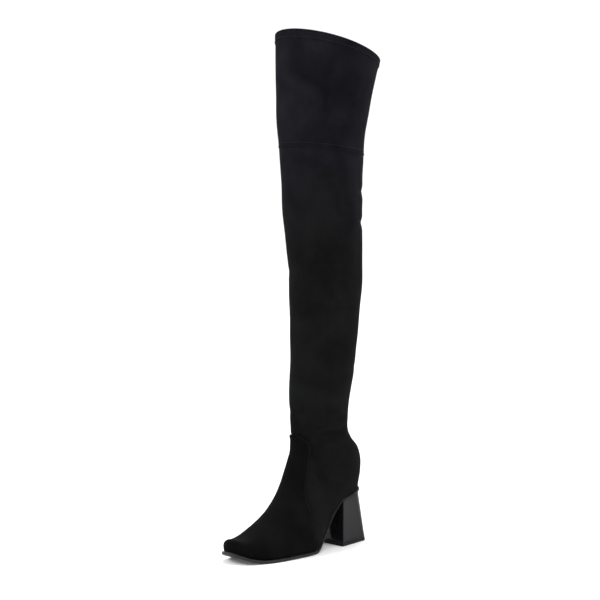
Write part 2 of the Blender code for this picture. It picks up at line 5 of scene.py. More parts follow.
import bmesh
import bpy
import numpy as np
from mathutils import Matrix, Vector
from mathutils.bvhtree import BVHTree


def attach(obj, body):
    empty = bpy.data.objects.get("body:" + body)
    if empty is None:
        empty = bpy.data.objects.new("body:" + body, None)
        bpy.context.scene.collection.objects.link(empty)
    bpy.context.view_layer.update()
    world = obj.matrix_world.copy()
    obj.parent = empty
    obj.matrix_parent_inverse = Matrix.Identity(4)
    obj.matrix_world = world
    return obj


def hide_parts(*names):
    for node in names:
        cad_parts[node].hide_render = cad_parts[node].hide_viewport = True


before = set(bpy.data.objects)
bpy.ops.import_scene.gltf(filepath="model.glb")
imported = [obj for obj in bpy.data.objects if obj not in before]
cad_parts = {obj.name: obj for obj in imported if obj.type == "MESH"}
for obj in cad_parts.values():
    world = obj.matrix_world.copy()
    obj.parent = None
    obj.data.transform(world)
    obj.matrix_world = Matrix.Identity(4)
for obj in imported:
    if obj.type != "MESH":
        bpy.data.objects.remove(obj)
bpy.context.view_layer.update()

# Sizes of the last and the shaft, as in the part's source
FOOT_LENGTH = 0.239
BALL_WIDTH = 0.081
INSTEP_HEIGHT = 0.062
HEEL_HEIGHT = 0.079
BOOT_HEIGHT = 0.733
CALF_DEPTH = 0.128
CALF_WIDTH = 0.090
HEEL_BACK = 0.027
WALL = 0.0018
HEM_HEIGHT = 0.011
HEM_STEP = 0.0007
KNEE_SEAM_HEIGHT = 0.566
KNEE_SEAM_WIDTH = 0.003
KNEE_SEAM_STEP = 0.0008
VAMP_THICKNESS = 0.0011
PIECE_GAP = 0.0003
GORE_WIDTH = 0.044
GORE_DEPTH = 0.062
ZIP_WIDTH = 0.007
ZIP_BOTTOM = 0.186
ZIP_TOP_LAND = 0.004
ZIP_ANGLE = math.radians(72)
ZIP_RECESS = 0.0004
TAPE_DROP = 0.0005
SLIDER_DROP = 0.009
SLIDER_LENGTH = 0.010
SLIDER_WIDTH = 0.008
SLIDER_TOP = 0.0025
EAR_INNER = 0.0016
EAR_OUTER = 0.0026
EAR_TOP = 0.0060
PIN_HEIGHT = 0.0045
PIN_RADIUS = 0.0005
PULL_BORE = 0.0006
PULL_BARREL = 0.0014
PULL_NECK = 0.0013
PULL_WIDTH = 0.005
PULL_LENGTH = 0.024
PULL_SHOULDER = 0.0035
PULL_THICKNESS = 0.0012
SOLE_THICKNESS = 0.0045
WAIST_THICKNESS = 0.0022
SOLE_EDGE = 0.0050
WAIST_EDGE = 0.0016
TOE_SPRING = 0.0108
TREAD_FRONT = 0.042
TREAD_BACK = 0.123
ARCH_SLOPE = 0.65
INSOLE_THICKNESS = 0.0025
INSOLE_GAP = 0.0014
SEAT_LENGTH = 0.049
SEAT_SLOPE = 0.27
HEEL_TOP_DEPTH = 0.046
HEEL_TOP_WIDTH = 0.053
HEEL_TOP_CORNER = 0.019
HEEL_BASE_DEPTH = 0.058
HEEL_BASE_WIDTH = 0.068
HEEL_BASE_CORNER = 0.009
HEEL_BACK_SHARE = 0.80
TOP_PIECE_THICKNESS = 0.0045
TOE_CORNER = 0.026
TOE_SQUARENESS = 2.7
TOE_WALL = 0.62
TOE_ROLL = 0.009
SEAT_CORNER = 0.027
LEAST_BULGE = 1.02

TOE_TIP = HEEL_BACK - FOOT_LENGTH
BREAST = HEEL_BACK - SEAT_LENGTH

# Half widths of the feather line: along the foot from the toe, outer, inner
OUTLINE = np.array((
    (0.00, 0.225, 0.275), (0.10, 0.330, 0.330), (0.20, 0.430, 0.385), (0.30, 0.475, 0.410),
    (0.40, 0.495, 0.385), (0.48, 0.500, 0.350), (0.56, 0.455, 0.315), (0.64, 0.370, 0.295),
    (0.74, 0.325, 0.295), (0.86, 0.320, 0.315), (1.00, 0.315, 0.315),
))

# Foot sections: sole, top, tall, outer, inner, widest, crown, ridge
FOOT = (
    (0.00, 0.000, 0.275, 0.235, 0.285, 0.30, 2.6, -0.03),
    (0.07, 0.071, 0.350, 0.325, 0.330, 0.30, 2.5, -0.03),
    (0.15, 0.150, 0.465, 0.415, 0.385, 0.30, 2.4, -0.03),
    (0.23, 0.225, 0.600, 0.475, 0.430, 0.30, 2.2, -0.03),
    (0.31, 0.295, 0.770, 0.510, 0.450, 0.32, 2.0, -0.03),
    (0.39, 0.350, 0.980, 0.525, 0.440, 0.32, 1.9, -0.02),
    (0.48, 0.395, 1.250, 0.525, 0.410, 0.32, 1.9, -0.01),
    (0.58, 0.428, 1.530, 0.470, 0.385, 0.34, 1.9, 0.00),
    (0.70, 0.457, 1.820, 0.400, 0.365, 0.36, 1.9, 0.00),
    (0.84, 0.479, 2.070, 0.375, 0.360, 0.36, 1.9, 0.00),
    (1.00, 0.492, 2.250, 0.370, 0.360, 0.33, 2.0, 0.00),
)

# Leg sections: back_up, front_up, back, front, half, widest, crown
LEG = (
    (0.032, 0.121, 0.252, -0.728, 0.335, 0.34, 2.0),
    (0.059, 0.139, 0.258, -0.728, 0.338, 0.36, 2.0),
    (0.086, 0.155, 0.208, -0.725, 0.342, 0.38, 2.0),
    (0.107, 0.173, 0.105, -0.720, 0.352, 0.42, 2.0),
    (0.128, 0.192, 0.040, -0.714, 0.375, 0.45, 2.0),
    (0.161, 0.215, 0.035, -0.705, 0.405, 0.47, 2.0),
    (0.218, 0.257, 0.078, -0.692, 0.425, 0.48, 2.0),
    (0.278, 0.308, 0.135, -0.686, 0.439, 0.49, 2.0),
    (0.359, 0.380, 0.195, -0.683, 0.455, 0.49, 2.0),
    (0.462, 0.476, 0.262, -0.697, 0.477, 0.49, 2.0),
    (0.571, 0.584, 0.266, -0.748, 0.503, 0.50, 2.0),
    (0.673, 0.689, 0.253, -0.787, 0.530, 0.50, 2.0),
    (0.767, 0.788, 0.276, -0.818, 0.590, 0.50, 2.0),
    (0.842, 0.875, 0.340, -0.815, 0.662, 0.51, 2.0),
    (0.902, 0.950, 0.430, -0.805, 0.702, 0.52, 2.0),
    (0.937, 1.000, 0.500, -0.800, 0.716, 0.53, 2.0),
)

# The vamp's seam seen from the side, as shares of foot length from the toe and up from the floor
VAMP_SEAM = (
    (0.506, 0.690), (0.536, 0.661), (0.561, 0.628), (0.560, 0.580), (0.545, 0.525), (0.518, 0.450),
    (0.490, 0.380), (0.482, 0.330), (0.490, 0.250), (0.502, 0.150), (0.506, 0.000),
)
# Where its line is carried on to, in front of the shin
VAMP_FRONT = (0.380, 0.705)

# How finely the surfaces are drawn: steps up each side below and above the widest place, distances
# between rows in metres, rows at the round ends, and the angle in degrees of a sharp edge
LOWER_STEPS = 24
UPPER_STEPS = 30
ROW_RUN = 0.0024
SEAM_RUN = 0.0004
PLATE_RUN = 0.003
SKIN_END_ROWS = 14
FINE_END_ROWS = 20
VAMP_ROWS = 110
VAMP_STEPS = (24, 90)
ANKLE_RUN = 0.12
SHARP_ANGLE = 40
SMALL_ANGLE = 60
PLATE_ANGLE = 30
HEEL_ANGLE = 24
SAME_STATION = 1e-9
FAR = 1e9


def smooth_curve(stations, values, at):
    """Smooth interpolation through rows, with tangents from the neighbouring rows."""
    steps = np.diff(stations)
    slopes = np.diff(values) / steps
    tangents = np.empty(len(values))
    tangents[1:-1] = (slopes[:-1] * steps[1:] + slopes[1:] * steps[:-1]) / (steps[1:] + steps[:-1])
    tangents[0] = slopes[0]
    tangents[-1] = slopes[-1]
    index = int(np.clip(np.searchsorted(stations, at, side="right") - 1, 0, len(steps) - 1))
    span = steps[index]
    t = (at - stations[index]) / span
    return (
        (2 * t**3 - 3 * t**2 + 1) * values[index]
        + (t**3 - 2 * t**2 + t) * span * tangents[index]
        + (3 * t**2 - 2 * t**3) * values[index + 1]
        + (t**3 - t**2) * span * tangents[index + 1]
    )


def sole_line(y):
    """Height of the sole's upper face."""
    tread_front = TOE_TIP + TREAD_FRONT
    tread_back = TOE_TIP + TREAD_BACK
    if y < tread_front:
        return SOLE_THICKNESS + TOE_SPRING * ((tread_front - y) / TREAD_FRONT) ** 2
    if y <= tread_back:
        return SOLE_THICKNESS
    if y >= BREAST:
        return HEEL_HEIGHT - SEAT_SLOPE * (HEEL_BACK - y)
    run = BREAST - tread_back
    rise = HEEL_HEIGHT - SEAT_SLOPE * SEAT_LENGTH - SOLE_THICKNESS
    t = (y - tread_back) / run
    return SOLE_THICKNESS + rise * (3 * t**2 - 2 * t**3) + ARCH_SLOPE * run * (t**3 - t**2)


def closing(distance, reach, power):
    """Share of the full size at a distance from a rounded end."""
    if distance >= reach:
        return 1.0
    return (1 - (1 - max(distance, 0.0) / reach) ** power) ** (1 / power)


def toe_closing(y):
    """How far the rounded corners of the toe narrow it at y."""
    return max(closing(y - TOE_TIP, TOE_CORNER, TOE_SQUARENESS), 1e-6)


def feather(y, side):
    """Half width of the line where the upper meets the sole; side 1 is outer, 2 is inner."""
    along = (min(max(y, TOE_TIP), HEEL_BACK) - TOE_TIP) / FOOT_LENGTH
    share = smooth_curve(OUTLINE[:, 0], OUTLINE[:, side], along)
    return share * BALL_WIDTH * toe_closing(y) * closing(HEEL_BACK - y, SEAT_CORNER, 2.0)


def last_rows():
    """The tables' rows as lengths."""
    rows = []
    for sole, top, tall, outer, inner, widest, crown, ridge in FOOT:
        y = TOE_TIP + sole * FOOT_LENGTH
        top_y = TOE_TIP + top * FOOT_LENGTH
        rows.append((y, sole_line(y), top_y, sole_line(top_y) + tall * INSTEP_HEIGHT,
                     outer * BALL_WIDTH, inner * BALL_WIDTH, widest, crown, ridge * BALL_WIDTH))
    leg_height = BOOT_HEIGHT - HEEL_HEIGHT
    for back_up, front_up, back, front, half, widest, crown in LEG:
        rows.append((back * CALF_DEPTH, HEEL_HEIGHT + back_up * leg_height,
                     front * CALF_DEPTH, HEEL_HEIGHT + front_up * leg_height,
                     half * CALF_WIDTH, half * CALF_WIDTH, widest, crown, 0.0))
    return np.array(rows)


ROWS = last_rows()
SEAT_ROW = len(FOOT) - 1
BOTTOM_STEPS = np.hypot(*np.diff(ROWS[:, 0:2], axis=0).T)
TOP_STEPS = np.hypot(*np.diff(ROWS[:, 2:4], axis=0).T)
STATIONS = np.concatenate([[0.0], np.cumsum((BOTTOM_STEPS + TOP_STEPS) / 2)])
SEAT_STATION = STATIONS[SEAT_ROW]


def at_station(station, columns, rows=slice(None)):
    """Values from columns of the sections' table at a station."""
    return [smooth_curve(STATIONS[rows], ROWS[rows, k], station) for k in columns]


def section_ends(station):
    """A section's two ends: on the sole line or up the back, and on the toe, instep or shin."""
    top_y, top_z = at_station(station, (2, 3))
    if station <= SEAT_STATION:
        y, = at_station(station, [0], slice(0, SEAT_ROW + 1))
        y = min(max(y, TOE_TIP), HEEL_BACK)
        z = sole_line(y)
    else:
        y, z = at_station(station, (0, 1), slice(SEAT_ROW, None))
    rolled = TOE_WALL + (1 - TOE_WALL) * closing(top_y - TOE_TIP, TOE_ROLL, 2.0)
    if rolled < 1:
        top_z = sole_line(top_y) + (top_z - sole_line(top_y)) * rolled
    return y, z, top_y, top_z


def section_points(station, lower_steps, upper_steps):
    """Points round one section, from the outer side's lower edge over the top to the inner's."""
    y, z, top_y, top_z = section_ends(station)
    outer, inner, widest, crown, ridge = at_station(station, range(4, 9))
    starts = (0.0, 0.0)
    if station <= SEAT_STATION:
        starts = (feather(y, 1), feather(y, 2))
        outer = max(outer * toe_closing(y), starts[0] * LEAST_BULGE)
        inner = max(inner * toe_closing(y), starts[1] * LEAST_BULGE)
    first = math.asin(sum(starts) / (outer + inner))
    low = first + (math.pi / 2 - first) * np.arange(lower_steps) / lower_steps
    high = math.pi / 2 * np.arange(upper_steps) / upper_steps
    spread = (np.sin(low) - math.sin(first)) / (1 - math.sin(first))
    up = np.concatenate([widest * (1 - np.cos(low) / math.cos(first)),
                         widest + (1 - widest) * np.sin(high) ** (2 / crown)])
    sides = []
    for start, wide in zip(starts, (outer, inner)):
        sides.append(np.concatenate([start + (wide - start) * spread,
                                     wide * np.cos(high) ** (2 / crown)]))
    across = np.concatenate([sides[0], [0.0], -sides[1][::-1]])
    up = np.concatenate([up, [1.0], up[::-1]])
    return np.stack([across + ridge * np.sin(math.pi / 2 * up),
                     y + (top_y - y) * up, z + (top_z - z) * up], axis=1)


def last_grid(stations, lower_steps, upper_steps):
    """Points of the last's surface, a row of them for each section, with the way out of it."""
    points = np.array([section_points(s, lower_steps, upper_steps) for s in stations])
    along = np.gradient(points, axis=0)
    around = np.gradient(points, axis=1)
    closed = np.array(stations) > SEAT_STATION - SAME_STATION
    around[closed, 0] = points[closed, 1] - points[closed, -2]
    around[closed, -1] = around[closed, 0]
    outward = np.cross(along, around)
    edge = ~closed
    for end in (0, -1):
        outward[edge, end] = np.stack([
            along[edge, end, 1], -along[edge, end, 0], np.zeros(edge.sum())
        ], axis=1) * (1 if end == 0 else -1)
    outward[0] = outward[0] + outward[0][::-1] * (-1, 1, 1)
    if stations[0] <= 0:
        outward[0, :, 0] = 0
    outward[closed, 0] = outward[closed, 0] * (0, 1, 1)
    outward[closed, -1] = outward[closed, 0]
    length = np.linalg.norm(outward, axis=2, keepdims=True)
    return points, outward / np.maximum(length, 1e-12)


def leg_axis(z):
    """The leg's centre, half width and half depth at a height."""
    rows = ROWS[SEAT_ROW + 2:]
    heights = (rows[:, 1] + rows[:, 3]) / 2
    centre = np.interp(z, heights, (rows[:, 0] + rows[:, 2]) / 2)
    return centre, np.interp(z, heights, rows[:, 4]), \
        np.interp(z, heights, (rows[:, 0] - rows[:, 2]) / 2)


def on_leg(turn, z):
    """A point on the leg, at degrees round from the shin toward the outer side."""
    centre, wide, deep = leg_axis(z)
    angle = math.radians(turn)
    return (wide * math.sin(angle), centre - deep * math.cos(angle), z)


# Folds, listed one by one: the depth and width of the trough in metres, and the places that it
# runs through, each a point, or degrees round the leg from the shin toward the outer side and a
# height
FOLDS = (
    (0.0032, 0.0062, ((20, 0.176), (58, 0.168), (92, 0.167), (124, 0.174))),
    (0.0016, 0.0070, ((60, 0.192), (100, 0.186), (140, 0.190))),
    (0.0014, 0.0065, ((0.030, -0.040, 0.128), (0.029, -0.062, 0.120), (0.024, -0.082, 0.112))),
    (0.0012, 0.0060, ((0.027, -0.015, 0.150), (0.029, -0.036, 0.146), (0.027, -0.060, 0.150))),
    (0.0024, 0.0055, ((-0.028, -0.026, 0.116), (-0.030, -0.048, 0.106), (-0.030, -0.072, 0.094))),
    (0.0016, 0.0060, ((-0.026, -0.010, 0.146), (-0.029, -0.032, 0.138), (-0.026, -0.060, 0.138))),
    (0.0016, 0.0065, ((-150, 0.182), (-105, 0.174), (-60, 0.178))),
    (0.0012, 0.0070, ((-40, 0.200), (0, 0.192), (40, 0.200))),
    (0.0013, 0.0060, ((150, 0.196), (180, 0.190), (210, 0.196))),
    (0.0020, 0.0065, ((-176, 0.505), (-145, 0.488), (-112, 0.464))),
    (0.0015, 0.0065, ((-168, 0.472), (-140, 0.452), (-118, 0.436))),
    (0.0013, 0.0075, ((170, 0.520), (140, 0.506), (112, 0.512))),
    (0.0015, 0.0080, ((176, 0.470), (140, 0.462), (104, 0.478))),
    (0.0010, 0.0070, ((92, 0.540), (64, 0.534), (44, 0.541))),
    (0.0009, 0.0060, ((70, 0.516), (52, 0.508), (36, 0.512))),
    (0.0012, 0.0100, ((30, 0.622), (70, 0.604), (108, 0.612))),
    (0.0012, 0.0100, ((120, 0.650), (86, 0.632), (56, 0.640))),
    (0.0012, 0.0090, ((-60, 0.606), (-100, 0.598), (-140, 0.612))),
    (0.0010, 0.0090, ((20, 0.430), (56, 0.418), (86, 0.424))),
    (0.0010, 0.0090, ((130, 0.362), (96, 0.348), (66, 0.356))),
    (0.0009, 0.0080, ((-20, 0.300), (20, 0.290), (60, 0.300))),
    (0.0009, 0.0080, ((160, 0.262), (120, 0.250), (84, 0.256))),
    (0.0009, 0.0080, ((-160, 0.330), (-130, 0.320), (-116, 0.322))),
    (0.0009, 0.0080, ((-84, 0.400), (-50, 0.392), (-20, 0.398))),
)
FOLD_SHARE = 1.35
FOLD_RIDGE = 0.9
FOLD_ENDS = (0.02, 0.98)
SWELL = 0.0009
SWELL_BOTTOM, SWELL_RISE = 0.13, 0.08
SWELL_TOP, SWELL_FALL = BOOT_HEIGHT - 0.04, 0.05


def nearest_on(points, start, end):
    """How far along a straight run each point is, from 0 to 1, and how it lies from there."""
    run = end - start
    share = np.clip(((points - start) @ run) / (run @ run), 0, 1)
    return share, points - start - share[..., None] * run


def fold_depth(points):
    """How far the wall is pushed in or out at each point: listed folds and a slow swell."""
    moved = np.zeros(points.shape[:-1])
    for depth, width, places in FOLDS:
        path = np.array([on_leg(*place) if len(place) == 2 else place for place in places])
        nearest = np.full(points.shape[:-1], FAR)
        taper = np.zeros(points.shape[:-1])
        for k, (start, end) in enumerate(zip(path, path[1:])):
            share, away = nearest_on(points, start, end)
            gap = np.linalg.norm(away, axis=-1)
            closer = gap < nearest
            nearest = np.where(closer, gap, nearest)
            along = np.clip((k + share) / (len(path) - 1), *FOLD_ENDS)
            taper = np.where(closer, np.sin(math.pi * along), taper)
        reach = FOLD_RIDGE * (nearest / width) ** 2
        moved += FOLD_SHARE * depth * taper * (reach - 1) * np.exp(-reach)
    x, y, z = points[..., 0], points[..., 1], points[..., 2]
    slow = (np.sin(34 * z + 21 * x + 1.3) * np.sin(27 * y - 12 * z + 0.4)
            + 0.6 * np.sin(71 * z - 38 * y + 2.1) * np.sin(52 * x + 31 * z))
    on_shaft = (np.clip((z - SWELL_BOTTOM) / SWELL_RISE, 0, 1)
                * np.clip((SWELL_TOP - z) / SWELL_FALL, 0, 1))
    return moved + SWELL * slow * on_shaft


def seam_curve(count):
    """The vamp's seam as a smooth line in the side view."""
    seam = np.array(VAMP_SEAM)
    run = np.concatenate([[0.0], np.cumsum(np.hypot(*np.diff(seam, axis=0).T))])
    return [(TOE_TIP + smooth_curve(run, seam[:, 0], s) * FOOT_LENGTH,
             smooth_curve(run, seam[:, 1], s) * FOOT_LENGTH)
            for s in np.linspace(0, run[-1], count)]


def seam_distance(points):
    """How far each point lies behind the vamp's seam in the side view; negative in front of it."""
    front, up = VAMP_FRONT
    line = np.array([(TOE_TIP + front * FOOT_LENGTH, up * FOOT_LENGTH)] + seam_curve(40))
    here = points[..., 1:3]
    nearest = np.full(here.shape[:-1], FAR)
    signed = np.zeros(here.shape[:-1])
    for start, end in zip(line, line[1:]):
        run = end - start
        _, away = nearest_on(here, start, end)
        gap = np.linalg.norm(away, axis=-1)
        turn = run[0] * away[..., 1] - run[1] * away[..., 0]
        signed = np.where(gap < nearest, np.sign(turn) * gap, signed)
        nearest = np.minimum(gap, nearest)
    return signed


# Soft forms beside the vamp's seam: height, place behind the seam, and width. The upper dips where
# the stitching pulls it in, and the vamp's folded edge stands a little proud.
SEAM_DITCH = (-0.0011, 0.0008, 0.0018)
SEAM_LIP = (0.0004, -0.0010, 0.0014)


def offset_grid(stations, offsets, steps, relief=None):
    """The last's surface moved outward by one distance or one a row, with its edge on the sole."""
    points, outward = last_grid(stations, *steps)
    offsets = np.broadcast_to(offsets, len(stations))
    distance = offsets[:, None] + fold_depth(points)
    if relief:
        height, place, width = relief
        distance = distance + height * np.exp(-((seam_distance(points) - place) / width) ** 2)
    moved = points + outward * distance[:, :, None]
    for row, station in enumerate(stations):
        if station < SEAT_STATION + SAME_STATION:
            for end in (0, -1):
                moved[row, end] = points[row, end] + outward[row, end] * offsets[row]
                if station > SEAT_STATION - SAME_STATION:
                    moved[row, end, 1] = HEEL_BACK + offsets[row]
                moved[row, end, 2] = sole_line(moved[row, end, 1])
    return moved


def station_at_height(height):
    """The station of the leg's section whose middle is at a height."""
    low, high = SEAT_STATION, STATIONS[-1]
    for _ in range(50):
        middle = (low + high) / 2
        _, z, _, top_z = section_ends(middle)
        low, high = (middle, high) if (z + top_z) / 2 < height else (low, middle)
    return (low + high) / 2


def station_at_sole(y):
    """The station of the foot's section that starts at y on the sole line."""
    low, high = 0.0, SEAT_STATION
    for _ in range(40):
        middle = (low + high) / 2
        low, high = (middle, high) if section_ends(middle)[0] < y else (low, middle)
    return (low + high) / 2


def plan_rows(end_rows, run):
    """Places along the sole, close together at the round ends."""
    shares = [k / end_rows for k in range(end_rows)]
    toe = [TOE_TIP + TOE_CORNER * share ** 2 for share in shares]
    seat = [HEEL_BACK - SEAT_CORNER * (1 - share) ** 2 for share in shares[1:] + [1.0]]
    start, end = TOE_TIP + TOE_CORNER, HEEL_BACK - SEAT_CORNER
    count = round((end - start) / run)
    return toe + [start + (end - start) * k / count for k in range(count + 1)] + seat


KNEE = station_at_height(KNEE_SEAM_HEIGHT)
HEM = STATIONS[-1] - HEM_HEIGHT
ZIP_LOW = station_at_height(ZIP_BOTTOM)
ZIP_HIGH = station_at_height(KNEE_SEAM_HEIGHT - KNEE_SEAM_WIDTH - ZIP_TOP_LAND)


def skin_rows():
    """Stations of the drawn upper: even rows, and fine ones at the knee seam and the hem."""
    foot = [0.0] + [station_at_sole(y) for y in plan_rows(SKIN_END_ROWS, ROW_RUN)[1:-1]]
    foot.append(SEAT_STATION)
    count = round((STATIONS[-1] - SEAT_STATION) / ROW_RUN)
    leg = [SEAT_STATION + (STATIONS[-1] - SEAT_STATION) * (k + 1) / count for k in range(count)]
    fine = [KNEE + SEAM_RUN * k for k in range(-8, 9)]
    fine += [HEM + SEAM_RUN * k for k in range(-4, 4)]
    fine += [STATIONS[-1] - SEAM_RUN * k for k in range(0, 5)]
    leg = [s for s in leg if min(abs(s - f) for f in fine) > SEAM_RUN]
    return sorted(foot + leg + fine)


KNEE_ROLL = 0.42 * KNEE_SEAM_WIDTH
KNEE_DITCH_BELOW = 0.8 * KNEE_SEAM_WIDTH
KNEE_DITCH = 0.0005
HEM_DITCH_BELOW = 0.0009
HEM_DITCH = 0.0004
DITCH_WIDTH = 0.0006
RIM_SHARE = 0.8


def hump(away, width):
    """The height, of 1 at most, of a soft hump at a distance from its middle."""
    return math.exp(-(away / width) ** 2)


def skin_offset(station):
    """How far the drawn wall stands proud: a rolled knee seam with a ditch, and a rounded hem."""
    proud = KNEE_SEAM_STEP * hump(station - KNEE, KNEE_ROLL)
    proud -= KNEE_DITCH * hump(station - KNEE + KNEE_DITCH_BELOW, DITCH_WIDTH)
    proud += HEM_STEP * min(max((station - HEM) / SEAM_RUN, 0.0), 1.0)
    proud -= HEM_DITCH * hump(station - HEM + HEM_DITCH_BELOW, DITCH_WIDTH)
    left = max(STATIONS[-1] - station, 0.0) / (WALL / 2)
    if left < 1:
        proud -= RIM_SHARE * (HEM_STEP + WALL / 2) * (1 - math.sqrt(1 - (1 - left) ** 2))
    return proud


def new_object(name, mesh_edit, sharp=SHARP_ANGLE):
    """A named object in the scene from a bmesh, welded and with its faces pointing out."""
    mesh = bpy.data.meshes.new(name)
    bmesh.ops.remove_doubles(mesh_edit, verts=mesh_edit.verts, dist=1e-6)
    bmesh.ops.recalc_face_normals(mesh_edit, faces=mesh_edit.faces)
    closed = all(edge.is_manifold for edge in mesh_edit.edges)
    if closed and mesh_edit.calc_volume(signed=True) < 0:
        bmesh.ops.reverse_faces(mesh_edit, faces=mesh_edit.faces)
    mesh_edit.to_mesh(mesh)
    mesh_edit.free()
    mesh.shade_smooth()
    mesh.set_sharp_from_angle(angle=math.radians(sharp))
    made = bpy.data.objects.new(name, mesh)
    bpy.context.scene.collection.objects.link(made)
    return made


def wall(name, grids, sole_rows, closed_rows):
    """A closed wall between two grids of points; its inner faces take the second material."""
    build = bmesh.new()
    made = [[[build.verts.new(point) for point in row] for row in grid] for grid in grids]
    rows, columns = len(made[0]), len(made[0][0])
    for index, grid in enumerate(made):
        for row in range(rows - 1):
            for k in range(columns - 1):
                face = build.faces.new((grid[row][k], grid[row + 1][k],
                                        grid[row + 1][k + 1], grid[row][k + 1]))
                face.material_index = index
    outer, inner = made
    for row in range(sole_rows):
        for end in (0, -1):
            build.faces.new((outer[row][end], outer[row + 1][end],
                             inner[row + 1][end], inner[row][end]))
    for row in closed_rows:
        for k in range(columns - 1):
            build.faces.new((outer[row][k], outer[row][k + 1], inner[row][k + 1], inner[row][k]))
    return new_object(name, build)


def shell(name, stations, outer_offsets, inner_offsets, relief=None):
    """A wall between two forms of the last, which leaves the inside open underneath."""
    steps = (LOWER_STEPS, UPPER_STEPS)
    grids = (offset_grid(stations, outer_offsets, steps, relief),
             offset_grid(stations, inner_offsets, steps))
    sole_rows = sum(1 for station in stations[1:] if station <= SEAT_STATION + SAME_STATION)
    return wall(name, grids, sole_rows, [-1] if stations[0] < SEAT_STATION else [0, -1])


def to_seam(grid, signed, count):
    """Each column of a grid, from the toe to the vamp's seam, drawn with count rows."""
    cut = np.empty((count,) + grid.shape[1:])
    places = np.arange(len(grid))
    for k in range(grid.shape[1]):
        behind = int(np.argmax(signed[:, k] > 0))
        front, back = signed[behind - 1, k], signed[behind, k]
        at_rows = np.linspace(0, behind - 1 + front / (front - back), count)
        for axis in range(3):
            cut[:, k, axis] = np.interp(at_rows, places, grid[:, k, axis])
    return cut


def join_rings(build, rings, ends=(0, -1)):
    """Rings of new vertices joined by faces and closed at the ends that are named."""
    made = [[build.verts.new(point) for point in ring] for ring in rings]
    for low, high in zip(made, made[1:]):
        for k in range(len(low)):
            after = (k + 1) % len(low)
            build.faces.new((low[k], low[after], high[after], high[k]))
    for end in ends:
        build.faces.new(made[end])


def sweep(name, rings, sharp=SHARP_ANGLE):
    """A closed solid through rings of points, with flat ends."""
    build = bmesh.new()
    join_rings(build, rings)
    return new_object(name, build, sharp)


def settle(target):
    """Apply an object's modifiers to its mesh."""
    graph = bpy.context.evaluated_depsgraph_get()
    mesh = bpy.data.meshes.new_from_object(target.evaluated_get(graph))
    target.modifiers.clear()
    target.data = mesh


def combine(target, tools, operation):
    """Cut, join or intersect an object with tools, which are used up."""
    for tool in tools:
        modifier = target.modifiers.new(tool.name, "BOOLEAN")
        modifier.operation = operation
        modifier.solver = "EXACT"
        modifier.object = tool
    settle(target)
    for tool in tools:
        bpy.data.objects.remove(tool)


ZIP_FORM_ROWS = 60
ZIP_FORM_WALLS = 3.5


def side_point(station, angle):
    """A point on the leg's inner side, at an angle round from the back."""
    y, z, top_y, top_z = section_ends(station)
    half, up = at_station(station, (5, 6))
    up *= 1 - math.cos(angle)
    return Vector((-half * math.sin(angle), y + (top_y - y) * up, z + (top_z - z) * up))


def zip_frame(station):
    """A place on the zip's line with its directions: level across, up along, and outward."""
    step = 0.001
    place = side_point(station, ZIP_ANGLE)
    across = side_point(station, ZIP_ANGLE + step) - side_point(station, ZIP_ANGLE - step)
    across.z = 0
    across.normalize()
    along = side_point(station + step, ZIP_ANGLE) - side_point(station - step, ZIP_ANGLE)
    along = (along - across * along.dot(across)).normalized()
    return place, across, along, across.cross(along)


def at(place_frame, u, v, w):
    """A point u across, v along and w outward in a frame."""
    place, across, along, outward = place_frame
    return place + across * u + along * v + outward * w


def zip_form(name, beyond):
    """A bar along the zip's line, through the wall."""
    half = ZIP_WIDTH / 2 + beyond
    deep = ZIP_FORM_WALLS * WALL
    corners = ((-half, -deep), (half, -deep), (half, deep), (-half, deep))
    rings = []
    for k in range(ZIP_FORM_ROWS + 1):
        run = ZIP_HIGH - ZIP_LOW + 2 * beyond
        place_frame = zip_frame(ZIP_LOW - beyond + run * k / ZIP_FORM_ROWS)
        rings.append([at(place_frame, u, 0, w) for u, w in corners])
    return sweep(name, rings)


def gore_form(name, beyond):
    """A V seen from behind, down from above the collar."""
    slope = GORE_WIDTH / 2 / GORE_DEPTH
    tip = ROWS[-1, 1] - GORE_DEPTH - beyond * math.hypot(1, slope) / slope
    top = BOOT_HEIGHT + HEM_HEIGHT
    half = (top - tip) * slope
    return sweep(name, [[(0.0, y, tip), (half, y, top), (-half, y, top)]
                        for y in (0.0, CALF_DEPTH)])


# Materials

def set_inputs(owner, values):
    """Set a node's inputs, named with _ in place of spaces."""
    for name, value in values.items():
        owner.inputs[name.replace("_", " ")].default_value = value


def shader_of(made):
    return made.node_tree.nodes["Principled BSDF"]


def material(name, colour, roughness, metallic=0.0, **sockets):
    """A material with its shader, ready for textures."""
    made = bpy.data.materials.new(name)
    made.use_nodes = True
    set_inputs(shader_of(made), {"Base_Color": (*colour, 1), "Roughness": roughness,
                                 "Metallic": metallic, **sockets})
    return made


def node(made, kind, **inputs):
    """A node with some of its inputs set; link() joins it to others."""
    fresh = made.node_tree.nodes.new(kind)
    set_inputs(fresh, inputs)
    return fresh


def link(made, source, output, target, entry):
    made.node_tree.links.new(source.outputs[output], target.inputs[entry])


def placed(made, scale=(1, 1, 1)):
    """Object coordinates in metres, scaled."""
    coordinate = node(made, "ShaderNodeTexCoord")
    mapping = node(made, "ShaderNodeMapping", Scale=scale)
    link(made, coordinate, "Object", mapping, "Vector")
    return mapping


def noise(made, where, scale, detail=3.0, roughness=0.5, distortion=0.0):
    texture = node(made, "ShaderNodeTexNoise", Scale=scale, Detail=detail,
                   Roughness=roughness, Distortion=distortion)
    link(made, where, "Vector", texture, "Vector")
    return texture


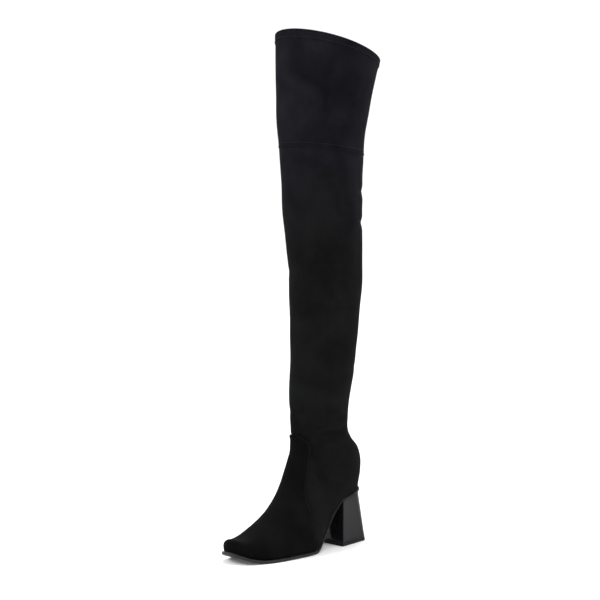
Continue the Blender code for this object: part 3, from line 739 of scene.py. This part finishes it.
def ramp(made, source, output, stops):
    """A colour ramp with (position, colour) stops."""
    fresh = node(made, "ShaderNodeValToRGB")
    link(made, source, output, fresh, "Fac")
    elements = fresh.color_ramp.elements
    for k, (position, colour) in enumerate(stops):
        element = elements[k] if k < 2 else elements.new(position)
        element.position = position
        element.color = (*colour, 1) if len(colour) == 3 else colour
    return fresh


def grey(value):
    return (value, value, value)


def multiply(made, first, second, share):
    """One colour darkened by another."""
    mix = made.node_tree.nodes.new("ShaderNodeMix")
    mix.data_type = "RGBA"
    mix.blend_type = "MULTIPLY"
    mix.inputs["Factor"].default_value = share
    made.node_tree.links.new(first, mix.inputs[6])
    made.node_tree.links.new(second, mix.inputs[7])
    return mix.outputs[2]


def colour_from(made, socket):
    made.node_tree.links.new(socket, shader_of(made).inputs["Base Color"])


def roughness_from(made, source, output, low, high):
    """Roughness that varies between two values with a texture."""
    spread = node(made, "ShaderNodeMapRange", To_Min=low, To_Max=high)
    link(made, source, output, spread, "Value")
    link(made, spread, "Result", shader_of(made), "Roughness")


def bumps(made, layers):
    """Bump layers, each (node, output, strength, distance)."""
    previous = None
    for source, output, strength, distance in layers:
        bump = node(made, "ShaderNodeBump", Strength=strength, Distance=distance)
        link(made, source, output, bump, "Height")
        if previous:
            link(made, previous, "Normal", bump, "Normal")
        previous = bump
    link(made, previous, "Normal", shader_of(made), "Normal")


# Suede: texture scales in cells a metre, and the heights between which a painted light cast turns
# it lighter and cooler
PATCH_SCALE = 16
STROKE_SCALE = 190
NAP_SCALE = 1500
PAINTED_LIGHT_FROM, PAINTED_LIGHT_TO = 0.42, 0.58


def suede_material(name, dark, light, seed):
    """Microfibre suede: nap brushed in soft patches, with a fine grain, and painted light: darker
    low down, lighter and cooler up the leg.
    """
    made = material(name, light, 0.9, Sheen_Weight=0.012, Sheen_Roughness=0.5,
                    Sheen_Tint=(0.8, 0.82, 1.0, 1), Specular_IOR_Level=0.02)
    where = placed(made)
    where.inputs["Location"].default_value = (seed, seed, 0)
    patches = noise(made, where, PATCH_SCALE, 4, 0.55, 0.6)
    strokes = noise(made, placed(made, (1.0, 1.0, 0.35)), STROKE_SCALE, 3, 0.6)
    nap = noise(made, where, NAP_SCALE, 2, 0.7)
    base = ramp(made, patches, "Fac", [(0.34, dark), (0.66, light)])
    tint = ramp(made, strokes, "Fac", [(0.25, grey(0.78)), (0.75, grey(1.0))])
    fine = ramp(made, nap, "Fac", [(0.3, grey(0.62)), (0.7, grey(1.0))])
    height = node(made, "ShaderNodeSeparateXYZ")
    link(made, placed(made), "Vector", height, "Vector")
    # Painted light: the colour is darkened low on the leg and made lighter and bluer up it,
    # standing in for the light on the thigh.
    painted_light_band = node(made, "ShaderNodeMapRange", From_Min=PAINTED_LIGHT_FROM, From_Max=PAINTED_LIGHT_TO)
    link(made, height, "Z", painted_light_band, "Value")
    painted_light_tint = ramp(made, painted_light_band, "Result", [(0.0, grey(0.82)), (1.0, (1.08, 1.05, 1.36))])
    colour = multiply(made, base.outputs["Color"], tint.outputs["Color"], 0.8)
    colour = multiply(made, colour, painted_light_tint.outputs["Color"], 1.0)
    colour_from(made, multiply(made, colour, fine.outputs["Color"], 0.55))
    roughness_from(made, strokes, "Fac", 0.82, 0.96)
    bumps(made, [(patches, "Fac", 0.25, 0.0012), (strokes, "Fac", 0.22, 0.0004),
                 (nap, "Fac", 0.30, 0.00018)])
    return made


SUEDE = suede_material("black_suede", (0.0040, 0.0041, 0.0042), (0.0082, 0.0085, 0.0085), 0.0)
VAMP_SUEDE = suede_material("vamp_suede", (0.0028, 0.0029, 0.0029), (0.0058, 0.0060, 0.0059), 0.31)


def knit_material(name, colour, pitch, roughness, depth):
    """A knitted or ribbed fabric with fine vertical wales, a pitch apart in metres."""
    made = material(name, colour, roughness, Sheen_Weight=0.03, Specular_IOR_Level=0.14)
    where = placed(made)
    scale = 1 / pitch / 6.28
    waves = []
    for direction, times, twist in (("X", 1.0, 0.6), ("Z", 1.4, 0.4)):
        wave = node(made, "ShaderNodeTexWave", Scale=scale * times, Distortion=twist)
        wave.bands_direction = direction
        link(made, where, "Vector", wave, "Vector")
        waves.append(wave)
    wales, courses = waves
    wales.inputs["Detail"].default_value = 1.0
    tone = noise(made, where, 30, 3)
    first = ramp(made, wales, "Fac", [(0.1, [c * 0.55 for c in colour]), (0.9, colour)])
    second = ramp(made, tone, "Fac", [(0.3, grey(0.8)), (0.7, grey(1.0))])
    colour_from(made, multiply(made, first.outputs["Color"], second.outputs["Color"], 1.0))
    bumps(made, [(wales, "Fac", 0.5, depth), (courses, "Fac", 0.3, depth * 0.7)])
    return made


LINING = knit_material("knit_lining", (0.020, 0.019, 0.019), 0.0012, 0.85, 0.0002)
ELASTIC = knit_material("elastic", (0.0095, 0.0095, 0.0110), 0.0016, 0.75, 0.0003)
TAPE = knit_material("zip_tape", (0.0085, 0.0085, 0.0095), 0.0010, 0.80, 0.0001)


def moulded_material(name, colour, low, high, grain, depth, specular=0.5, metallic=0.0):
    """A moulded or painted surface: roughness from low to high, and a fine grain in metres."""
    made = material(name, colour, (low + high) / 2, metallic, Specular_IOR_Level=specular)
    where = placed(made)
    cloud = noise(made, where, 42, 4, 0.6)
    fine = noise(made, where, grain, 3, 0.6)
    tone = ramp(made, cloud, "Fac", [(0.3, [c * 0.82 for c in colour]), (0.7, colour)])
    colour_from(made, tone.outputs["Color"])
    roughness_from(made, cloud, "Fac", low, high)
    bumps(made, [(fine, "Fac", 0.35, depth)])
    return made


SOLE = moulded_material("sole_rubber", (0.015, 0.015, 0.017), 0.40, 0.55, 1400, 0.00008, 0.15)
HEEL = moulded_material("heel_gloss", (0.005, 0.005, 0.006), 0.08, 0.15, 160, 0.00003, 0.15)
TOP_PIECE = moulded_material("top_piece_rubber", (0.008, 0.008, 0.009), 0.55, 0.7, 1100, 0.0001,
                             0.15)
METAL = moulded_material("black_metal", (0.035, 0.035, 0.038), 0.24, 0.38, 900, 0.00002,
                         metallic=1.0)
COIL = moulded_material("coil_nylon", (0.007, 0.007, 0.008), 0.45, 0.6, 1800, 0.00003, 0.12)
THREAD = moulded_material("thread", (0.0060, 0.0060, 0.0072), 0.7, 0.85, 2500, 0.0001, 0.2)
SOCK = moulded_material("sock_leather", (0.030, 0.028, 0.027), 0.5, 0.7, 700, 0.00015)


def dress(piece, surfaces, replaced=(), body="boot"):
    """Give a piece its materials, parent it to its body's empty, and hide the imported parts it
    replaces.
    """
    piece.data.materials.clear()
    for surface in surfaces:
        piece.data.materials.append(surface)
    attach(piece, body)
    if replaced:
        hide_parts(*replaced)


# Upper, vamp and gore

rows = skin_rows()
proud = [skin_offset(s) for s in rows]
inside = [-WALL + 0.5 * min(away, 0.0) if s > HEM else -WALL for s, away in zip(rows, proud)]
upper = shell("upper_suede", rows, proud, inside, SEAM_DITCH)
SURFACE = BVHTree.FromObject(upper, bpy.context.evaluated_depsgraph_get())
combine(upper, [zip_form("slot", PIECE_GAP), gore_form("notch", PIECE_GAP)], "DIFFERENCE")
dress(upper, [SUEDE, LINING], ["upper"])

vamp_rows = [0.0] + [station_at_sole(y) for y in plan_rows(FINE_END_ROWS, ROW_RUN / 2)[1:-1]]
vamp_rows += [SEAT_STATION + ROW_RUN / 2 * k for k in range(int(2 * ANKLE_RUN / ROW_RUN))]
behind_seam = seam_distance(last_grid(vamp_rows, *VAMP_STEPS)[0])
vamp_grids = [to_seam(offset_grid(vamp_rows, lift, VAMP_STEPS, relief), behind_seam, VAMP_ROWS)
              for lift, relief in ((PIECE_GAP + VAMP_THICKNESS, SEAM_LIP), (PIECE_GAP, None))]
vamp = wall("vamp_suede_layer", vamp_grids, VAMP_ROWS - 1, [-1])
VAMP_SURFACE = BVHTree.FromObject(vamp, bpy.context.evaluated_depsgraph_get())
dress(vamp, [VAMP_SUEDE, VAMP_SUEDE], ["vamp"])

gore_low = station_at_height(ROWS[-1, 1] - GORE_DEPTH - HEM_HEIGHT)
gore = shell("gore_webbing", [s for s in rows if s > gore_low], 0.0, -WALL)
combine(gore, [gore_form("wedge", 0.0)], "INTERSECT")
dress(gore, [ELASTIC, ELASTIC], ["back_gore"])

zip_rows = [s for s in rows if ZIP_LOW - 2 * ROW_RUN < s < ZIP_HIGH + 2 * ROW_RUN]
tape = shell("zip_tape", zip_rows, -ZIP_RECESS - TAPE_DROP, -WALL)
combine(tape, [zip_form("strip", 0.0)], "INTERSECT")
dress(tape, [TAPE, TAPE], ["zip"])

COIL_PITCH = 0.0014
COIL_MARGIN = 0.002
COIL_DEPTH = 0.00075
# A loop from root to head: its place across the zip, half width and half thickness
COIL_LOOP = ((-0.0004, 0.00040, 0.00028), (0.0003, 0.00045, 0.00042),
             (0.0014, 0.00034, 0.00040), (0.0019, 0.00028, 0.00022))
COIL_SECTION = ((-1, -1), (1, -1), (1.15, 0.4), (0.5, 1), (-0.5, 1), (-1.15, 0.4))


def zip_teeth():
    """The closed coil: a row of small bent loops from each side, meeting in the middle."""
    build = bmesh.new()
    for k in range(int((ZIP_HIGH - ZIP_LOW - 2 * COIL_MARGIN) / COIL_PITCH)):
        place_frame = zip_frame(ZIP_LOW + COIL_MARGIN + COIL_PITCH * k)
        side = 1 if k % 2 else -1
        join_rings(build, [[at(place_frame, side * u, v * half, w * thick - COIL_DEPTH)
                            for v, w in COIL_SECTION] for u, half, thick in COIL_LOOP])
    return new_object("zip_coil", build, SMALL_ANGLE)


dress(zip_teeth(), [COIL])


# Stitches

def drop(tree, start, direction):
    """Where a ray meets a surface, with the normal there, or None."""
    hit = tree.ray_cast(Vector(start), Vector(direction))
    if hit[0] is None:
        return None
    normal = hit[1] if hit[1].dot(Vector(direction)) < 0 else -hit[1]
    return hit[0], normal


def walk(track, spacing):
    """Places at even spacing on a track of (point, normal), with the direction there."""
    placed_points = []
    left = 0.0
    for (first, normal), (second, _) in zip(track, track[1:]):
        run = second - first
        length = run.length
        while left <= length and length > 0:
            placed_points.append((first + run * (left / length), normal, run / length))
            left += spacing
        left -= length
    return placed_points


STITCH_SPACING = 0.0030
STITCH_LENGTH = 0.0022
STITCH_RADIUS = 0.00028
# A stitch from end to end: place as a share of its length, size and rise as shares of its radius
STITCH_FORM = ((-0.5, 0.35, -0.2), (-0.36, 0.9, 0.55), (0.36, 0.9, 0.55), (0.5, 0.35, -0.2))
STITCH_TURNS = [math.tau * k / 6 for k in range(6)]
# Distances of the stitches from the knee seam, the hem's edge, and the vamp's and zip's edges
KNEE_STITCH = 0.0042
HEM_STITCH = 0.0016
EDGE_STITCH = 0.0022
TRACK_STEPS = 120
BEYOND_LEG = 0.1
RAY_START = 0.01
SOLE_MARGIN = 0.003


def add_stitches(build, track):
    """Short rounded threads along a track."""
    for place, normal, along in walk(track, STITCH_SPACING):
        side = along.cross(normal).normalized()
        rings = []
        for share, size, rise in STITCH_FORM:
            middle = place + along * (STITCH_LENGTH * share) + normal * (STITCH_RADIUS * rise)
            rings.append([middle + (side * math.cos(a) + normal * math.sin(a))
                          * STITCH_RADIUS * size for a in STITCH_TURNS])
        join_rings(build, rings)


def track_of(tree, rays):
    """The points and normals where rays, each a start and a direction, meet a surface."""
    hits = [drop(tree, start, direction) for start, direction in rays]
    return [hit for hit in hits if hit]


def ring_track(station, skip_gore):
    """A track round the leg at a station, on the drawn surface."""
    points, outward = last_grid([station - 0.001, station, station + 0.001], 60, 60)
    return track_of(SURFACE, [
        (Vector(point) + Vector(normal) * RAY_START, -Vector(normal))
        for point, normal in zip(points[1], outward[1])
        if not (skip_gore and abs(point[0]) < GORE_WIDTH * 0.55 and point[1] > 0.03)])


def zip_track(u):
    """A track beside the zip, a distance across from its middle."""
    places = [zip_frame(ZIP_LOW + (ZIP_HIGH - ZIP_LOW) * k / TRACK_STEPS)
              for k in range(TRACK_STEPS + 1)]
    return track_of(SURFACE, [(at(place, u, 0, RAY_START), -place[3]) for place in places])


def seam_track(side):
    """A track on the vamp beside its seam, on one side of the boot."""
    line = seam_curve(90)
    rays = []
    for (y0, z0), (y1, z1) in zip(line, line[1:]):
        length = math.hypot(y1 - y0, z1 - z0)
        y = y0 - EDGE_STITCH * (z0 - z1) / length
        z = z0 - EDGE_STITCH * (y1 - y0) / length
        if z > sole_line(y) + SOLE_MARGIN:
            rays.append(((side * BEYOND_LEG, y, z), (-side, 0, 0)))
    return track_of(VAMP_SURFACE, rays)


def gore_track(side):
    """A track beside the gore's edge, on the upper."""
    slope = GORE_WIDTH / 2 / GORE_DEPTH
    top, low = ROWS[-1, 1] - 0.0015, ROWS[-1, 1] - GORE_DEPTH - 0.007
    return track_of(SURFACE, [((side * (z - low) * slope, 2 * BEYOND_LEG, z), (0, -1, 0))
                              for z in np.linspace(top, low, 31)])


threads = bmesh.new()
add_stitches(threads, ring_track(KNEE + KNEE_STITCH, False))
add_stitches(threads, ring_track(HEM + HEM_STITCH, True))
for side in (1, -1):
    add_stitches(threads, seam_track(side))
    add_stitches(threads, gore_track(side))
    add_stitches(threads, zip_track(side * (ZIP_WIDTH / 2 + EDGE_STITCH)))
dress(new_object("stitching", threads, SMALL_ANGLE), [THREAD])


# Sole, insole and heel

def ease(y, start, end):
    """0 before start, 1 after end, smooth between."""
    t = min(max((y - start) / (end - start), 0.0), 1.0)
    return t * t * (3 - 2 * t)


def sole_thickness(y):
    tread_back = TOE_TIP + TREAD_BACK
    waist = ease(y, tread_back, (tread_back + BREAST) / 2)
    return SOLE_THICKNESS + (WAIST_THICKNESS - SOLE_THICKNESS) * waist


def sole_edge(y):
    waist = ease(y, TOE_TIP + TREAD_FRONT, (TOE_TIP + TREAD_BACK + BREAST) / 2)
    return SOLE_EDGE + (WAIST_EDGE - SOLE_EDGE) * waist


PLAN_ROWS = plan_rows(FINE_END_ROWS, PLATE_RUN)


def plan_outline(beyond):
    """The feather line moved outward by beyond(y), toe to heel, one list of points a side."""
    sides = []
    for sign, side in ((1, 1), (-1, 2)):
        line = []
        for y in PLAN_ROWS:
            step = 1e-5
            before, after = max(y - step, TOE_TIP), min(y + step, HEEL_BACK)
            across = feather(after, side) - feather(before, side)
            length = math.hypot(across, after - before)
            away = beyond(y)
            if y <= TOE_TIP + SAME_STATION:
                line.append((0.0, y - away))
            elif y >= HEEL_BACK - SAME_STATION:
                line.append((0.0, y + away))
            else:
                line.append((sign * (feather(y, side) + away * (after - before) / length),
                             y - away * across / length))
        sides.append(line)
    return sides


def soft_plate(name, beyond, top, bottom, rim, profile):
    """A plate whose rim is rounded: profile lists (share of height, inset in rims)."""
    build = bmesh.new()
    levels = []
    for share, inset in profile:
        sides = plan_outline(lambda y: beyond(y) - rim * inset)
        levels.append([[build.verts.new((x, y, top(y) + (bottom(y) - top(y)) * share))
                        for x, y in line] for line in sides])
    count = len(PLAN_ROWS)
    for (outer, inner) in (levels[0], levels[-1]):
        for k in range(count - 1):
            build.faces.new([outer[k], outer[k + 1], inner[k + 1], inner[k]])
    for high, low in zip(levels, levels[1:]):
        for side in (0, 1):
            for k in range(count - 1):
                build.faces.new([high[side][k], high[side][k + 1], low[side][k + 1], low[side][k]])
    return new_object(name, build, PLATE_ANGLE)


ROUND_RIM = ((0.0, 1.0), (0.06, 0.45), (0.16, 0.12), (0.3, 0.0), (0.78, 0.0), (0.9, 0.25),
             (1.0, 1.0))
outsole = soft_plate("sole_unit", sole_edge, lambda y: sole_line(y) - PIECE_GAP,
                     lambda y: sole_line(y) - sole_thickness(y), 0.0006, ROUND_RIM)
dress(outsole, [SOLE], ["outsole"])
insole = soft_plate("sock_lining", lambda y: -WALL - INSOLE_GAP,
                    lambda y: sole_line(y) + INSOLE_THICKNESS, sole_line, 0.0008, ROUND_RIM)
dress(insole, [SOCK], ["insole"])


HEEL_EDGE = 0.0012
HEEL_REACH = 0.03
CORNER_STEPS = 10


def both_sides(points):
    """An outline from its half on one side of the middle."""
    return points + [(-u, v) for u, v in reversed(points) if u]


def heel_ring(width, depth, corner, back_y):
    """One level of the heel, seen from above: a straight breast and rounded back corners."""
    front_half, back_half, front_y = width / 2, width * HEEL_BACK_SHARE / 2, back_y - depth
    points = [(front_half - HEEL_EDGE, front_y),
              (front_half - HEEL_EDGE * 0.3, front_y + HEEL_EDGE * 0.3),
              (front_half, front_y + HEEL_EDGE)]
    for k in range(CORNER_STEPS + 1):
        angle = math.pi / 2 * k / CORNER_STEPS
        points.append((back_half - corner * (1 - math.cos(angle)),
                       back_y - corner * (1 - math.sin(angle))))
    return both_sides(points)


def heel_solid(name, low, high, levels, rim):
    """The heel between two heights given as functions of y, with rounded rims."""
    base = heel_ring(HEEL_BASE_WIDTH, HEEL_BASE_DEPTH, HEEL_BASE_CORNER, HEEL_BASE_DEPTH / 2)
    seat = heel_ring(HEEL_TOP_WIDTH, HEEL_TOP_DEPTH, HEEL_TOP_CORNER,
                     HEEL_BACK - (SEAT_LENGTH - HEEL_TOP_DEPTH) / 2)
    rings = []
    for share, inset in levels:
        shrink = 1 - rim * inset / HEEL_REACH
        ring = []
        for (x0, y0), (x1, y1) in zip(base, seat):
            y = y1
            for _ in range(8):
                z = low(y) + (high(y) - low(y)) * share
                level = z / HEEL_HEIGHT
                y = y0 + (y1 - y0) * level
            ring.append(((x0 + (x1 - x0) * level) * shrink, y * shrink, z))
        rings.append(ring)
    return sweep(name, rings, HEEL_ANGLE)


HEEL_LEVELS = [(0.0, 1.0), (0.004, 0.3), (0.012, 0.0)] + [(k / 12, 0.0) for k in range(1, 12)] \
    + [(0.988, 0.0), (0.996, 0.3), (1.0, 1.0)]
heel = heel_solid("heel_block", lambda y: TOP_PIECE_THICKNESS + PIECE_GAP,
                  lambda y: sole_line(y) - WAIST_THICKNESS - PIECE_GAP, HEEL_LEVELS, 0.0005)
dress(heel, [HEEL], ["heel"])
TIP_LEVELS = [(0.0, 0.8), (0.1, 0.0), (0.9, 0.0), (1.0, 0.8)]
tip = heel_solid("heel_tip", lambda y: 0.0, lambda y: TOP_PIECE_THICKNESS, TIP_LEVELS, 0.0005)
dress(tip, [TOP_PIECE], ["heel_top_piece"])


# Slider and pull

EAR_REACH = 0.0015
PULL_WAIST = 0.011
OPENING_TOP = 0.0095
OPENING_BOTTOM = PULL_LENGTH - 0.0035


def outline_block(name, place_frame, outline, low, high, bevel):
    """A plate from an outline in a frame's across and along, with rounded edges."""
    made = sweep(name, [[at(place_frame, u, v, w) for u, v in outline] for w in (low, high)],
                 PLATE_ANGLE)
    rounding = made.modifiers.new("edges", "BEVEL")
    rounding.width = bevel
    rounding.segments = 3
    rounding.limit_method = "ANGLE"
    settle(made)
    return made


def box_outline(u0, v0, u1, v1):
    return [(u0, v0), (u1, v0), (u1, v1), (u0, v1)]


def rod(name, place_frame, radius, half_length, steps=24):
    """A round bar across a frame, through its place."""
    turns = [math.tau * k / steps for k in range(steps)]
    return sweep(name, [[at(place_frame, u, radius * math.cos(a), radius * math.sin(a))
                         for a in turns] for u in (-half_length, half_length)], PLATE_ANGLE)


slider_frame = zip_frame(ZIP_HIGH - SLIDER_DROP)
half_w, half_l = SLIDER_WIDTH / 2, SLIDER_LENGTH / 2
slider_side = [(half_w * u, half_l * v) for u, v in
               ((0.55, -1), (0.8, -0.3), (1, 0.45), (0.8, 1), (0, 0.8))]
slider = outline_block("slider_body", slider_frame, both_sides(slider_side),
                       PIECE_GAP, SLIDER_TOP, 0.0005)
ears = []
for side in (1, -1):
    u0, u1 = sorted((side * EAR_INNER, side * EAR_OUTER))
    ears.append(outline_block("ear", slider_frame, box_outline(u0, -EAR_REACH, u1, EAR_REACH),
                              SLIDER_TOP / 2, EAR_TOP, 0.0004))
up = Vector((0, 0, 1))
hanging = (at(slider_frame, 0, 0, PIN_HEIGHT), slider_frame[1], up, slider_frame[1].cross(up))
ears.append(rod("pin", hanging, PIN_RADIUS, (EAR_INNER + EAR_OUTER) / 2))
combine(slider, ears, "UNION")
dress(slider, [METAL], ["zip_slider"])

thick = PULL_THICKNESS / 2
half = PULL_WIDTH / 2
pull = rod("pull_tab", hanging, PULL_BARREL, PULL_NECK, 32)
tab_side = [(half * u, v) for u, v in
            ((0.72, -PULL_LENGTH), (1, -PULL_LENGTH + 0.002), (0.9, -PULL_WAIST),
             (0.62, -PULL_SHOULDER - 0.0004), (0.3, -PULL_SHOULDER))]
tab = outline_block("tab", hanging, both_sides(tab_side), -thick, thick, 0.0003)
neck_half = PULL_NECK * 0.92
neck = outline_block("neck", hanging,
                     box_outline(-neck_half, -PULL_SHOULDER - 0.001, neck_half, 0),
                     -thick * 0.9, thick * 0.9, 0.0001)
combine(pull, [tab, neck], "UNION")
opening = outline_block("opening", hanging,
                        box_outline(-half * 0.34, -OPENING_BOTTOM, half * 0.34, -OPENING_TOP),
                        -2 * thick, 2 * thick, 0.0003)
combine(pull, [rod("bore", hanging, PULL_BORE, 2 * PULL_NECK), opening], "DIFFERENCE")
dress(pull, [METAL], ["zip_pull"], "pull")


# Studio

BOWL_RADIUS = 4.2
BOWL_WALL = 1.6
BOWL_BEND = 2.2
BOWL_TURNS = [math.tau * k / 96 for k in range(96)]
BEND_STEPS = 12
CARD_TURNS = (44, 116, 188, 260, 332)
CARD_DISTANCE = 1.1
CARD_WIDTH = 0.42
CARD_HEIGHT = 0.9


def stage_paint(name, low, high, scale, roughness, **sockets):
    """A paint that varies slightly between two greys."""
    made = material(name, grey(high), roughness, **sockets)
    tone = ramp(made, noise(made, placed(made), scale, 2), "Fac",
                [(0.3, grey(low)), (0.7, grey(high))])
    colour_from(made, tone.outputs["Color"])
    return made


def studio_bowl():
    """A pale floor that curves up into a low round wall."""
    flat = BOWL_RADIUS - BOWL_BEND
    profile = [(r, 0.0) for r in (0.001, 0.6, 1.4, flat)]
    for k in range(1, BEND_STEPS + 1):
        angle = math.pi / 2 * k / BEND_STEPS
        profile.append((flat + BOWL_BEND * math.sin(angle), BOWL_BEND * (1 - math.cos(angle))))
    profile.append((BOWL_RADIUS, BOWL_BEND + BOWL_WALL))
    build = bmesh.new()
    join_rings(build, [[(r * math.cos(a), r * math.sin(a), z) for a in BOWL_TURNS]
                       for r, z in profile], [0])
    return new_object("studio_floor", build, SMALL_ANGLE)


def dark_card(turn, paint):
    """A black card beside the set that only shiny surfaces see."""
    angle = math.radians(turn)
    middle = Vector((math.cos(angle), math.sin(angle), 0)) * CARD_DISTANCE
    across = Vector((-math.sin(angle), math.cos(angle), 0)) * CARD_WIDTH / 2
    foot, head = Vector((0, 0, 0.001)), Vector((0, 0, CARD_HEIGHT))
    build = bmesh.new()
    build.faces.new([build.verts.new(middle + corner) for corner in
                     (foot - across, foot + across, head + across, head - across)])
    made = new_object("dark_card", build)
    made.data.materials.append(paint)
    made.visible_camera = False
    made.visible_diffuse = False
    made.visible_shadow = False


floor = studio_bowl()
floor.data.materials.append(stage_paint(
    "studio_white", 0.85, 0.87, 0.8, 0.85, Specular_IOR_Level=0.1,
    Emission_Color=(1, 1, 1, 1), Emission_Strength=0.05))
card_black = stage_paint("card_black", 0.003, 0.006, 4, 0.9, Specular_IOR_Level=0.0)
for turn in CARD_TURNS:
    dark_card(turn, card_black)

world = bpy.data.worlds.new("studio_world")
world.use_nodes = True
world.node_tree.nodes["Background"].inputs["Color"].default_value = (1, 1, 1, 1)
world.node_tree.nodes["Background"].inputs["Strength"].default_value = 0.65
bpy.context.scene.world = world


def soft_light(name, place, target, size, power):
    """A rectangular soft light that points at a target."""
    lamp = bpy.data.lights.new(name, "AREA")
    lamp.shape = "RECTANGLE"
    lamp.size, lamp.size_y = size
    lamp.energy = power
    made = bpy.data.objects.new(name, lamp)
    made.location = place
    made.rotation_euler = (Vector(target) - Vector(place)).to_track_quat("-Z", "Y").to_euler()
    bpy.context.scene.collection.objects.link(made)


soft_light("key", (-0.9, -2.3, 2.0), (0, -0.05, 0.35), (1.0, 1.2), 70)
soft_light("side", (2.5, 0.9, 1.5), (0, -0.05, 0.3), (0.7, 1.6), 36)
soft_light("back", (-1.2, 2.2, 1.8), (0, -0.05, 0.4), (1.0, 1.0), 30)
soft_light("overhead", (0.1, -0.1, 2.6), (0, -0.05, 0.0), (1.8, 1.8), 30)

# Camera at the photograph's angle to this boot
AZIMUTH = math.radians(46)
CAMERA_CENTRE = -0.06
CAMERA_DISTANCE = 2.1
CAMERA_HEIGHT = 0.475
AIM = Vector((-0.0094, -0.0697, 0.3544))
ROLL = math.radians(-0.35)
LENS = 88.8
camera_data = bpy.data.cameras.new("camera")
camera_data.lens = LENS
camera_data.sensor_width = 36
camera_data.clip_start = 0.05
camera = bpy.data.objects.new("camera", camera_data)
camera.location = (CAMERA_DISTANCE * math.sin(AZIMUTH),
                   CAMERA_CENTRE - CAMERA_DISTANCE * math.cos(AZIMUTH), CAMERA_HEIGHT)
look = (AIM - camera.location).to_track_quat("-Z", "Y").to_matrix().to_4x4()
camera.rotation_euler = (look @ Matrix.Rotation(ROLL, 4, "Z")).to_euler()
bpy.context.scene.collection.objects.link(camera)
bpy.context.scene.camera = camera
bpy.context.scene.view_settings.view_transform = "Standard"
